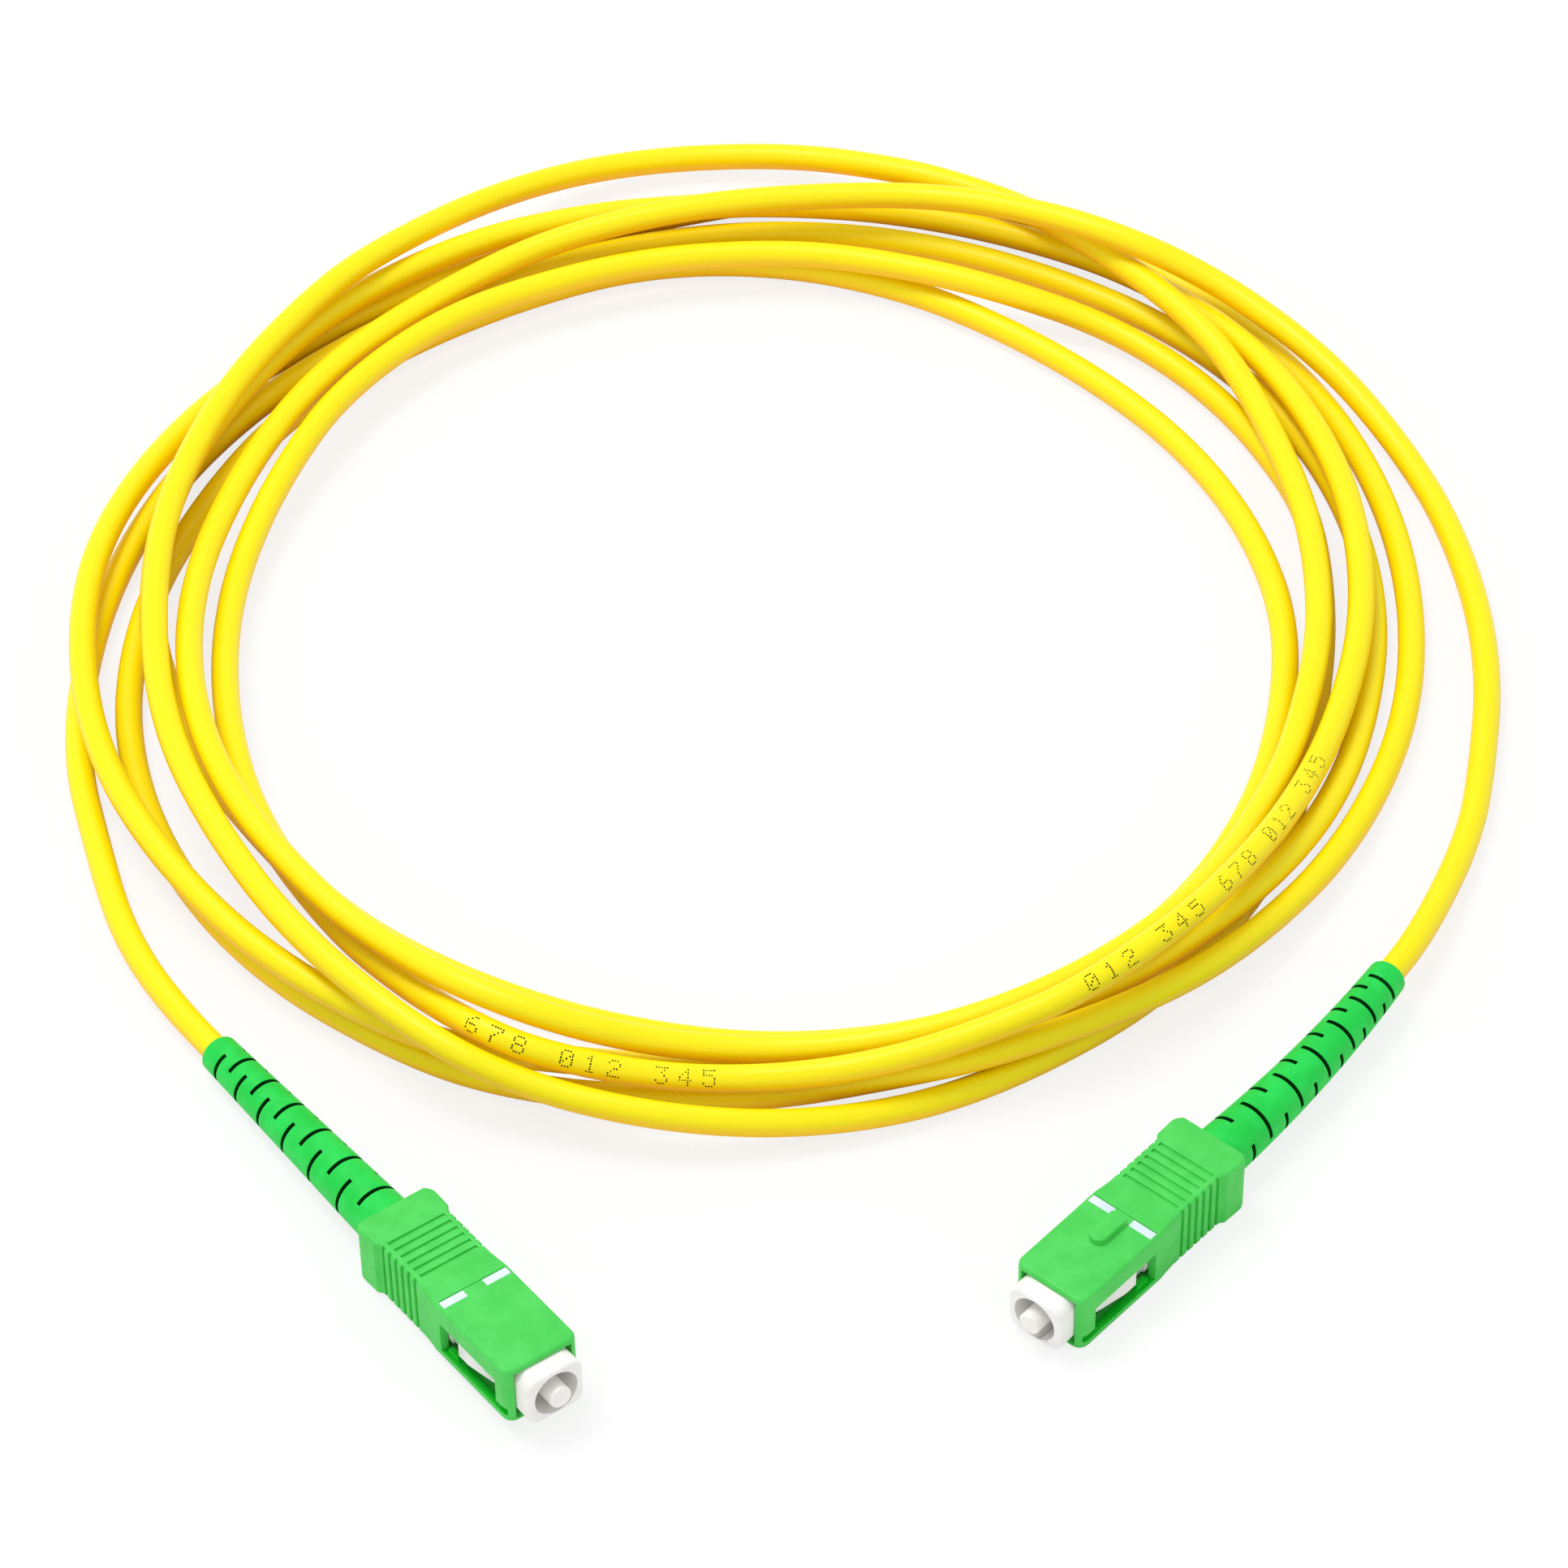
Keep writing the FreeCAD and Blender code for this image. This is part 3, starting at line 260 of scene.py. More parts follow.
route = [on_axis(PLUGS["a"], distance) for distance in INSIDE_BOOT]
route += [in_frame(*point) for point in LEAD_A]
route += through(stations)
route += [in_frame(*point) for point in LEAD_B]
route += [on_axis(PLUGS["b"], distance) for distance in reversed(INSIDE_BOOT)]
route = [point * MM for point in route]

guide_curve = curve_of("guide", route)
bpy.context.view_layer.update()
guide_mesh = bpy.data.meshes.new_from_object(guide_curve)
cable_line = [vertex.co.copy() for vertex in guide_mesh.vertices]
bpy.data.objects.remove(guide_curve)

# %% The jacket
JACKET_SIDES = 20


def carried_frames(line):
    """A side vector at each point, carried along the line without twisting."""
    side = Vector((0, 0, 1)).cross(line[1] - line[0]).normalized()
    frames = []
    for i, point in enumerate(line):
        ahead = line[min(i + 1, len(line) - 1)] - line[max(i - 1, 0)]
        ahead.normalize()
        side = (side - ahead * side.dot(ahead)).normalized()
        frames.append((point, ahead, side, ahead.cross(side)))
    return frames


def sweep(name, frames, radius, sides):
    """A tube along the frames. Its UV map holds millimetres along the line and turns round it."""
    work = bmesh.new()
    uv = work.loops.layers.uv.new("run")
    rings = []
    along = [0.0]
    for (before, _, _, _), (after, _, _, _) in zip(frames, frames[1:]):
        along.append(along[-1] + (after - before).length / MM)
    for point, _, side, up in frames:
        ring = []
        for k in range(sides):
            angle = 2 * math.pi * k / sides
            ring.append(work.verts.new(point + (side * math.cos(angle) + up * math.sin(angle)) * radius))
        rings.append(ring)
    for i, (near, far) in enumerate(zip(rings, rings[1:])):
        for k in range(sides):
            face = work.faces.new((near[k], near[(k + 1) % sides], far[(k + 1) % sides], far[k]))
            corners = ((along[i], k), (along[i], k + 1), (along[i + 1], k + 1), (along[i + 1], k))
            for loop, (run, turn) in zip(face.loops, corners):
                loop[uv].uv = (run, turn / sides)
    work.faces.new(list(reversed(rings[0])))
    work.faces.new(rings[-1])
    work.normal_update()
    mesh = bpy.data.meshes.new(name)
    work.to_mesh(mesh)
    work.free()
    made = bpy.data.objects.new(name, mesh)
    bpy.context.scene.collection.objects.link(made)
    mesh.shade_smooth()
    return made


cable_frames = carried_frames(cable_line)
jacket = sweep("jacket", cable_frames, CABLE_DIAMETER / 2 * MM, JACKET_SIDES)
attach(jacket, "cord")
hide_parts("cable_lead_a", "cable_coil", "cable_lead_b")
print("jacket:", len(jacket.data.polygons), "faces")

# %% [markdown]
# ## Length marks on the jacket
# Such a cable is printed along its length. Here the print is plain numbers in dot matrix, on the
# strand that faces the eye at the front of the coil. A dot is a very low cone on the jacket. It is
# placed by its distance along the cable and its height across the strand, as the eye sees it.

# %% The print
DIGITS = {
    "0": ("01110", "10001", "10011", "10101", "11001", "10001", "01110"),
    "1": ("00100", "01100", "00100", "00100", "00100", "00100", "01110"),
    "2": ("01110", "10001", "00001", "00110", "01000", "10000", "11111"),
    "3": ("11111", "00010", "00100", "00010", "00001", "10001", "01110"),
    "4": ("00010", "00110", "01010", "10010", "11111", "00010", "00010"),
    "5": ("11111", "10000", "11110", "00001", "00001", "10001", "01110"),
    "6": ("00110", "01000", "10000", "11110", "10001", "10001", "01110"),
    "7": ("11111", "00001", "00010", "00100", "01000", "01000", "01000"),
    "8": ("01110", "10001", "10001", "01110", "10001", "10001", "01110"),
}
DOT_RADIUS = 0.12
DOT_PITCH = 0.29
DOT_SIDES = 8
DOT_SUNK = 0.02
DOT_HEIGHT = 0.04
DIGIT_PITCH = 2.5
MIDDLE_ROW = 3
PRINTS = (((330, 71.9, 10.7), "012 345 678 012 345"), ((27, 76.8, 8.8), "678 012 345"))


def print_dots(text):
    """Each dot of a line of digits: how far along the text it is and how far up, in mm."""
    for place, sign in enumerate(text):
        for row, dots in enumerate(DIGITS.get(sign, ())):
            for column, dot in enumerate(dots):
                if dot == "1":
                    yield place * DIGIT_PITCH + column * DOT_PITCH, (MIDDLE_ROW - row) * DOT_PITCH


def add_dot(work, frames, start, along, up):
    """One low cone on the jacket. The text runs against the cable's direction, left to right."""
    travelled = 0.0
    place = start
    while travelled < along * MM:
        travelled += (frames[place][0] - frames[place - 1][0]).length
        place -= 1
    over = travelled - along * MM
    point, ahead = frames[place][0] + frames[place][1] * over, frames[place][1]
    to_eye = (EYE - point).normalized()
    facing = (to_eye - ahead * to_eye.dot(ahead)).normalized()
    upward = facing.cross(-ahead)
    angle = up / (CABLE_DIAMETER / 2)
    outward = facing * math.cos(angle) + upward * math.sin(angle)
    rise = upward * math.cos(angle) - facing * math.sin(angle)
    base = point + outward * (CABLE_DIAMETER / 2 - DOT_SUNK) * MM
    ring = []
    for k in range(DOT_SIDES):
        turn = 2 * math.pi * k / DOT_SIDES
        spoke = ahead * math.cos(turn) + rise * math.sin(turn)
        ring.append(work.verts.new(base + spoke * DOT_RADIUS * MM))
    top = work.verts.new(base + outward * DOT_HEIGHT * MM)
    for k in range(DOT_SIDES):
        work.faces.new((ring[k], ring[(k + 1) % DOT_SIDES], top))
    work.faces.new(list(reversed(ring)))


def jacket_print():
    work = bmesh.new()
    for station, text in PRINTS:
        wanted = coil_station(*station) * MM
        distances = [(point - wanted).length for point, _, _, _ in cable_frames]
        start = distances.index(min(distances))
        for along, up in print_dots(text):
            add_dot(work, cable_frames, start, along, up)
    bmesh.ops.recalc_face_normals(work, faces=work.faces)
    mesh = bpy.data.meshes.new("jacket_print")
    work.to_mesh(mesh)
    work.free()
    made = bpy.data.objects.new("jacket_print", mesh)
    bpy.context.scene.collection.objects.link(made)
    return made


numbers = jacket_print()
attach(numbers, "cord")

# %% [markdown]
# ## Modelling helpers
# The plug's pieces are modelled the way a machinist would: start from a bar, round it, cut it, add
# to it, and break its sharp edges at the end. Each helper below is one such step. A test on an edge
# says which edges a step works on.

# %% Helpers
TOUCH = 0.01
SMOOTH_ANGLE = math.radians(30.0)


def select_only(*objects):
    bpy.ops.object.select_all(action="DESELECT")
    for item in objects:
        item.select_set(True)
    bpy.context.view_layer.objects.active = objects[0]


def bar(name, x, y, z):
    """A box from its low and high sides."""
    bpy.ops.object.select_all(action="DESELECT")
    centre = [(low + high) / 2 for low, high in (x, y, z)]
    size = [high - low for low, high in (x, y, z)]
    bpy.ops.mesh.primitive_cube_add(size=1, location=centre, scale=size)
    made = bpy.context.object
    made.name = name
    bpy.ops.object.transform_apply(location=True, rotation=True, scale=True)
    return made


def both_flanks(name, x, inner, outer, z):
    return [bar(name, x, (inner, outer), z), bar(name, x, (-outer, -inner), z)]


def both_faces(name, x, y, inner, outer):
    return [bar(name, x, y, (inner, outer)), bar(name, x, y, (-outer, -inner))]


def rod(name, radius, x, sides=64):
    """A round bar along the plug's axis."""
    bpy.ops.object.select_all(action="DESELECT")
    bpy.ops.mesh.primitive_cylinder_add(
        vertices=sides, radius=radius, depth=x[1] - x[0],
        location=((x[0] + x[1]) / 2, 0, 0), rotation=(0, math.pi / 2, 0))
    made = bpy.context.object
    made.name = name
    bpy.ops.object.transform_apply(location=True, rotation=True, scale=True)
    return made


def pick_edges(obj, wanted):
    """Edit mode with the edges selected whose two end points pass the test."""
    select_only(obj)
    bpy.ops.object.mode_set(mode="EDIT")
    bpy.ops.mesh.select_mode(type="EDGE")
    bpy.ops.mesh.select_all(action="DESELECT")
    bpy.ops.object.mode_set(mode="OBJECT")
    points = obj.data.vertices
    for edge in obj.data.edges:
        a, b = (points[i].co for i in edge.vertices)
        edge.select = bool(wanted(a, b))
    bpy.ops.object.mode_set(mode="EDIT")


def round_edges(obj, wanted, width, segments):
    pick_edges(obj, wanted)
    bpy.ops.mesh.bevel(offset=width, segments=segments, profile=0.5, affect="EDGES")
    bpy.ops.object.mode_set(mode="OBJECT")


def same(first, second):
    return abs(first - second) < 1e-4


def lengthwise(a, b):
    return same(a.y, b.y) and same(a.z, b.z)


def ahead_of(x):
    """A test for the edges that lie wholly in front of x."""
    def wanted(a, b):
        return min(a.x, b.x) > x
    return wanted


def slice_at(obj, *stations_x):
    """Cuts the faces across the plug's axis without taking anything away."""
    for x in stations_x:
        select_only(obj)
        bpy.ops.object.mode_set(mode="EDIT")
        bpy.ops.mesh.select_all(action="SELECT")
        bpy.ops.mesh.bisect(plane_co=(x, 0, 0), plane_no=(1, 0, 0))
        bpy.ops.object.mode_set(mode="OBJECT")


def widen_at(obj, x, factor):
    def at_x(a, b):
        return same(a.x, x) and same(b.x, x)

    pick_edges(obj, at_x)
    bpy.ops.transform.resize(value=(1, factor, 1), center_override=(x, 0, 0))
    bpy.ops.object.mode_set(mode="OBJECT")


def combine(obj, tools, operation):
    for tool in tools:
        modifier = obj.modifiers.new("combine", "BOOLEAN")
        modifier.operation = operation
        modifier.solver = "EXACT"
        modifier.object = tool
        select_only(obj)
        bpy.ops.object.modifier_apply(modifier=modifier.name)
        bpy.data.objects.remove(tool)
    return obj


def cut(obj, *tools):
    return combine(obj, tools, "DIFFERENCE")


def add(obj, *tools):
    return combine(obj, tools, "UNION")


def break_edges(obj, width, segments=2, angle=40.0):
    """The small round that a mould leaves on every sharp edge."""
    modifier = obj.modifiers.new("edges", "BEVEL")
    modifier.width = width
    modifier.segments = segments
    modifier.limit_method = "ANGLE"
    modifier.angle_limit = math.radians(angle)
    modifier.use_clamp_overlap = True
    modifier.harden_normals = False
    select_only(obj)
    bpy.ops.object.modifier_apply(modifier=modifier.name)
    bpy.ops.object.shade_smooth_by_angle(angle=SMOOTH_ANGLE)


def copy_of(obj, name):
    made = obj.copy()
    made.data = obj.data.copy()
    made.name = name
    made.data.name = name
    bpy.context.scene.collection.objects.link(made)
    return made


def set_in_place(obj, plug):
    """From the plug's own axis in mm to the frame in metres, with the object left at the origin."""
    obj.data.transform(Matrix.Scale(MM, 4) @ placement(plug))
    obj.data.update()


# %% [markdown]
# ## The sliding housing
# The green outer shell slides back two millimetres on the white frame inside it, which is how the
# plug lets go of its socket. It is a square tube with two side windows, a ribbed grip and, on one
# wide face, the key that allows one way up only. It is cut from one bar, as the mould's core and
# cavity would form it.

# %% Housing sizes
CORNER_ROUND = 1.2
EDGE_ROUND = 0.45
WAIST_WIDTH = 8.5
WAIST_START = 13.0
WAIST_BEND = {"at": 14.1, "width": 8.7}
WAIST_FULL = 15.2
BAND_WIDTH = 9.3
BAND_START = 22.9
BAND_STEP = 0.5
REAR_CORNER = ((1.5, 0.0), (1.0, 0.2), (0.5, 0.6), (0.0, 1.4))
FRAME_WIDTH = 6.8
FRAME_HEIGHT = 6.0
CLEARANCE = 0.15
FRONT_CAVITY_LENGTH = 20.0
BOOT_ROOT_DIAMETER = 6.1
PAST = 1.0
GRIP = {"rows": 6, "pitch": 1.15, "width": 0.5, "behind": 0.35}
GRIP_FACE = {"depth": 0.25, "end": 0.75}
GRIP_SIDE_DEPTH = 0.3
WINDOW = {"front": 2.2, "rear": 12.0, "floor": -2.7, "top": 1.2}
CHANNEL = {"front": 0.5, "height": 0.9, "depth": 0.45, "overlap": 0.5}
TOOTH = {"front": 9.2, "rise": 0.5, "rear": 11.2, "height": 0.65, "root": 0.2}
TOOTH_INSET = 0.4
KEY = {"front": 7.1, "half": 1.0, "root": 0.35, "end_round": 0.98, "edge_round": 0.15}
MARK = {"front": 11.375, "rear": 12.425, "inner": 1.15, "edge": 0.35, "depth": 0.2}
LINE = {"front": 0.02, "rear": 0.12, "edge": 0.4, "depth": 0.1}
MOULD_ROUND = 0.07

# %% The housing
def housing_shell():
    half_width, half_height = HOUSING_WIDTH / 2, HOUSING_HEIGHT / 2
    body = bar("housing", (-HOUSING_LENGTH, 0), (-half_width, half_width), (-half_height, half_height))
    widths = (
        (WAIST_START, HOUSING_WIDTH),
        (WAIST_BEND["at"], WAIST_BEND["width"]),
        (WAIST_FULL, WAIST_WIDTH),
        (BAND_START, WAIST_WIDTH),
        (BAND_START + BAND_STEP, BAND_WIDTH),
    )
    slice_at(body, *[-behind for behind, _ in widths])
    for behind, width in widths[1:]:
        widen_at(body, -behind, width / HOUSING_WIDTH)
    for ahead, narrower in REAR_CORNER:
        slice_at(body, -HOUSING_LENGTH + ahead)
        widen_at(body, -HOUSING_LENGTH + ahead, (BAND_WIDTH - narrower) / HOUSING_WIDTH)

    def front_corner(a, b):
        return same(a.x, b.x) and same(a.y, b.y) and a.x > -TOUCH

    def rim(a, b):
        flat = same(a.z, b.z) and same(abs(a.z), half_height)
        slice_line = same(a.x, b.x) and a.y * b.y < 0 and -HOUSING_LENGTH + TOUCH < a.x < -TOUCH
        return flat and not slice_line

    round_edges(body, front_corner, CORNER_ROUND, 5)
    round_edges(body, rim, EDGE_ROUND, 4)
    return body


def grip_cutters():
    cutters = []
    half = HOUSING_HEIGHT / 2
    reach = WAIST_WIDTH / 2 - GRIP_FACE["end"]
    side = WAIST_WIDTH / 2 - GRIP_SIDE_DEPTH
    for i in range(GRIP["rows"]):
        rear = -(BAND_START - GRIP["behind"] - i * GRIP["pitch"])
        x = (rear, rear + GRIP["width"])
        cutters += both_faces("cut", x, (-reach, reach), half - GRIP_FACE["depth"], half + PAST)
        cutters += both_flanks("cut", x, side, side + PAST, (-half - PAST, half + PAST))
    return cutters


def as_it_lies(up, low, high):
    """A stretch of heights counted as the plug lies: turned over on the plug that lies on its key."""
    return sorted((up * low, up * high))


def window_cutters(up):
    """Each window, and a shallow channel from the front edge to it along its floor."""
    x = (-WINDOW["rear"], -WINDOW["front"])
    cutters = both_flanks("cut", x, FRAME_WIDTH / 2, HOUSING_WIDTH,
                          as_it_lies(up, WINDOW["floor"], WINDOW["top"]))
    x = (-WINDOW["front"] - CHANNEL["overlap"], -CHANNEL["front"])
    z = as_it_lies(up, WINDOW["floor"], WINDOW["floor"] + CHANNEL["height"])
    return cutters + both_flanks("cut", x, HOUSING_WIDTH / 2 - CHANNEL["depth"], HOUSING_WIDTH, z)


def release_teeth(up):
    """A tooth on the floor of each window. Its upper front edge is pushed back, which makes the ramp."""
    crest = WINDOW["floor"] + TOOTH["height"]
    z = as_it_lies(up, WINDOW["floor"] - TOOTH["root"], crest)
    x = (-TOOTH["rear"], -TOOTH["front"])
    teeth = both_flanks("tooth", x, FRAME_WIDTH / 2 + CLEARANCE, HOUSING_WIDTH / 2 - TOOTH_INSET, z)

    def upper_front(a, b):
        return min(a.x, b.x) > x[1] - TOUCH and min(a.z * up, b.z * up) > crest - TOUCH

    for tooth in teeth:
        pick_edges(tooth, upper_front)
        bpy.ops.transform.translate(value=(-TOOTH["rise"], 0, 0))
        bpy.ops.object.mode_set(mode="OBJECT")
    return teeth


def paint_floor_shade(body, up):
    """The floors of the windows and channels get the second material slot, a deeper green that is painted
    shade.
    """
    for face in body.data.polygons:
        place = face.center
        inside = CHANNEL["front"] - 0.05 < -place.x < WINDOW["rear"] + 0.1
        level = WINDOW["floor"] - 0.05 < place.z * up < WINDOW["floor"] + CHANNEL["height"]
        if inside and level and FRAME_WIDTH / 2 < abs(place.y) < HOUSING_WIDTH / 2 - 0.05:
            face.material_index = 1


def key_bar():
    """The key is a bar whose front end is rounded in plan."""
    face = HOUSING_HEIGHT / 2
    z = (face - KEY["root"], face + KEY_HEIGHT)
    key = bar("key", (-KEY_REAR, -KEY["front"]), (-KEY["half"], KEY["half"]), z)

    def front_corner(a, b):
        return ahead_of(-KEY["front"] - TOUCH)(a, b) and same(a.y, b.y)

    def above_face(a, b):
        return min(a.z, b.z) > face

    round_edges(key, front_corner, KEY["end_round"], 8)
    round_edges(key, above_face, KEY["edge_round"], 3)
    return key


def mark_cutters():
    cutters = []
    face = HOUSING_HEIGHT / 2
    x = (-MARK["rear"], -MARK["front"])
    outer = HOUSING_WIDTH / 2 - MARK["edge"]
    for y in ((MARK["inner"], outer), (-outer, -MARK["inner"])):
        cutters += both_faces("cut", x, y, face - MARK["depth"], face + PAST)
    return cutters


def line_cutters():
    """A fine line across each wide face at the rear of the marks."""
    x = (-MARK["rear"] - LINE["rear"], -MARK["rear"] - LINE["front"])
    reach = HOUSING_WIDTH / 2 - LINE["edge"]
    face = HOUSING_HEIGHT / 2
    return both_faces("cut", x, (-reach, reach), face - LINE["depth"], face + PAST)


def outer_housing(up):
    body = housing_shell()
    cut(body, *grip_cutters())
    cut(body, *window_cutters(up))
    add(body, key_bar(), *release_teeth(up))
    wide = FRAME_WIDTH / 2 + CLEARANCE
    high = FRAME_HEIGHT / 2 + CLEARANCE
    cavity = bar("cut", (-FRONT_CAVITY_LENGTH, PAST), (-wide, wide), (-high, high))
    boot_room = rod("cut", BOOT_ROOT_DIAMETER / 2 + CLEARANCE,
                    (-HOUSING_LENGTH - PAST, -FRONT_CAVITY_LENGTH + PAST))
    cut(body, cavity, boot_room)
    cut(body, *mark_cutters())
    cut(body, *line_cutters())
    break_edges(body, MOULD_ROUND)
    body.data.materials.append(None)
    body.data.materials.append(None)
    paint_floor_shade(body, up)
    return body


UP = {side: -1 if plug["roll"] else 1 for side, plug in PLUGS.items()}
housings = {side: outer_housing(UP[side]) for side in PLUGS}
print("housing:", len(housings["a"].data.polygons), "faces")

# %% [markdown]
# ## The index marks
# Two white bars on each wide face show that the plug is fully home when they disappear into the
# socket. On the real part they are paint in a shallow pocket, so each is a thin pad with soft rims.

# %% The marks
PAINT_GAP = 0.02
PAINT_BELOW = 0.01
PAINT_ROUND = 0.05


def index_marks():
    face = HOUSING_HEIGHT / 2
    x = (-MARK["rear"] + PAINT_GAP, -MARK["front"] - PAINT_GAP)
    inner = MARK["inner"] + PAINT_GAP
    outer = HOUSING_WIDTH / 2 - MARK["edge"] - PAINT_GAP
    pads = []
    for y in ((inner, outer), (-outer, -inner)):
        pads += both_faces("mark", x, y, face - MARK["depth"], face - PAINT_BELOW)
    for pad in pads:
        break_edges(pad, PAINT_ROUND)
    select_only(*pads)
    bpy.ops.object.join()
    return bpy.context.object


marks = index_marks()

# %% [markdown]
# ## The plug frame
# The white frame carries the ferrule and snaps into the socket. Its nose is a square with rounded
# corners and a round mouth. Its flanks have the shoulders that show in the housing's windows, and
# pockets under them, whose walls are painted near black-green as painted shade.

# %% The frame
FRAME_FRONT = 2.1
FRAME_REAR = 17.5
FRAME_ROUND = 1.5
NOSE_ROUND = 0.4
FRONT_BORE = 5.2
SEAT_HOLE = 3.7
REAR_BORE = 5.0
SEAT = {"front": 3.2, "rear": 4.2}
LATCH = {"front": 14.5, "rear": 16.3, "half": 1.3, "inner": 1.9}
SHOULDER = {"front": 3.8, "full": 7.6, "rear": 9.3, "reach": 0.7, "low": -1.45, "high": 1.1}
POCKET_FRONT = 3.0
POCKET_REAR = 11.9
POCKET_LOW = -2.55
POCKET_DEPTH = 1.2
FRAME_MOULD_ROUND = 0.09


def paint_pocket_shade(body, up):
    """The walls of the pockets get the second material slot, a near black-green that is painted shade."""
    for face in body.data.polygons:
        place = face.center
        along = POCKET_FRONT < -place.x < POCKET_REAR
        level = POCKET_LOW - 0.05 < place.z * up < SHOULDER["low"] + 0.02
        floor = FRAME_WIDTH / 2 - POCKET_DEPTH
        if along and level and floor - 0.1 < abs(place.y) < FRAME_WIDTH / 2 - 0.1:
            face.material_index = 1


def plug_frame(up):
    wide, high = FRAME_WIDTH / 2, FRAME_HEIGHT / 2
    body = bar("frame", (-FRAME_REAR, FRAME_FRONT), (-wide, wide), (-high, high))
    round_edges(body, lengthwise, FRAME_ROUND, 8)
    round_edges(body, ahead_of(FRAME_FRONT - TOUCH), NOSE_ROUND, 4)
    shoulders = bar("shoulders", (-SHOULDER["rear"], -SHOULDER["front"]),
                    (-wide - SHOULDER["reach"], wide + SHOULDER["reach"]),
                    as_it_lies(up, SHOULDER["low"], SHOULDER["high"]))
    slice_at(shoulders, -SHOULDER["full"])
    widen_at(shoulders, -SHOULDER["front"], wide / (wide + SHOULDER["reach"]))
    add(body, shoulders)
    under = as_it_lies(up, POCKET_LOW, SHOULDER["low"])
    behind = as_it_lies(up, POCKET_LOW, SHOULDER["high"])
    past = wide + PAST
    cut(body, *both_flanks("cut", (-SHOULDER["rear"], -POCKET_FRONT), wide - POCKET_DEPTH, past, under))
    cut(body, *both_flanks("cut", (-POCKET_REAR, -SHOULDER["rear"]), wide - POCKET_DEPTH / 2, past, behind))
    cut(body, rod("cut", FRONT_BORE / 2, (-SEAT["front"], FRAME_FRONT + PAST)))
    cut(body, rod("cut", SEAT_HOLE / 2, (-SEAT["rear"] - TOUCH, -SEAT["front"] + TOUCH)))
    cut(body, rod("cut", REAR_BORE / 2, (-FRAME_REAR - PAST, -SEAT["rear"])))
    z = (-LATCH["half"], LATCH["half"])
    cut(body, *both_flanks("cut", (-LATCH["rear"], -LATCH["front"]), LATCH["inner"], past, z))
    break_edges(body, FRAME_MOULD_ROUND, 3)
    body.data.materials.append(None)
    body.data.materials.append(None)
    paint_pocket_shade(body, up)
    return body


frames_made = {side: plug_frame(UP[side]) for side in PLUGS}
print("frame:", len(frames_made["a"].data.polygons), "faces")

# %% [markdown]
# ## The ferrule
# The ceramic ferrule holds the fibre on its axis to a thousandth of a millimetre. Its tip has a
# small chamfer and is polished at eight degrees, so that light reflected at the joint leaves the
# fibre. A rod is chamfered and one plane cuts the slope.

# %% The ferrule
FERRULE_TIP = 3.1
FERRULE_LENGTH = 10.5
FERRULE_RADIUS = 1.2495
TIP_BEVEL = 0.3
TIP_SLOPE = math.radians(8.0)
SHANK_RADIUS = 1.0
SHANK_STEP = 4.1
FIBRE_HOLE = 0.0725


def ferrule():
    rear = FERRULE_TIP - FERRULE_LENGTH
    body = rod("ferrule", FERRULE_RADIUS, (-SHANK_STEP, FERRULE_TIP), 72)
    add(body, rod("shank", SHANK_RADIUS, (rear, -SHANK_STEP + 0.1), 48))
    round_edges(body, ahead_of(FERRULE_TIP - TOUCH), TIP_BEVEL, 4)
    select_only(body)
    bpy.ops.object.mode_set(mode="EDIT")
    bpy.ops.mesh.select_all(action="SELECT")
    bpy.ops.mesh.bisect(plane_co=(FERRULE_TIP, 0, 0), clear_outer=True, use_fill=True,
                        plane_no=(math.cos(TIP_SLOPE), 0, -math.sin(TIP_SLOPE)))
    bpy.ops.object.mode_set(mode="OBJECT")
    cut(body, rod("cut", FIBRE_HOLE, (rear - PAST, FERRULE_TIP + PAST), 24))
    break_edges(body, 0.02)
    return body


ceramic = ferrule()

# %% [markdown]
# ## The strain relief boot
# A soft boot keeps the cable from bending sharply behind the plug. Rows of slits, turned a quarter
# from row to row and closer together towards the tail, let it bend a little more with each row. A
# slit is a thin sector spun about the axis. Each boot is cut first and bent afterwards, so that all
# slits stay square to the cable.

# %% The boot
BOOT_FRONT = 20.3
BOOT_TAIL_DIAMETER = 4.2
BOOT_WALL = 0.35
BOOT_FIT = 0.05
TAIL_ROUND = 0.45
BOOT_SLICE = 1.1
SLIT_ROWS = 12
SLIT_START = 30.2
SLIT_PITCH = (2.9, 1.95)
SLIT_WIDTH = 0.5
SLIT_ANGLE = 116.0
SLIT_STEPS = 18


def boot_radius(distance):
    share = max(0.0, (distance - HOUSING_LENGTH) / (BOOT_TAIL - HOUSING_LENGTH))
    return (BOOT_ROOT_DIAMETER + (BOOT_TAIL_DIAMETER - BOOT_ROOT_DIAMETER) * share) / 2


def slit_distances():
    first, last = SLIT_PITCH
    distances = [SLIT_START]
    for i in range(SLIT_ROWS - 1):
        distances.append(distances[-1] + first + (last - first) * i / (SLIT_ROWS - 2))
    return distances


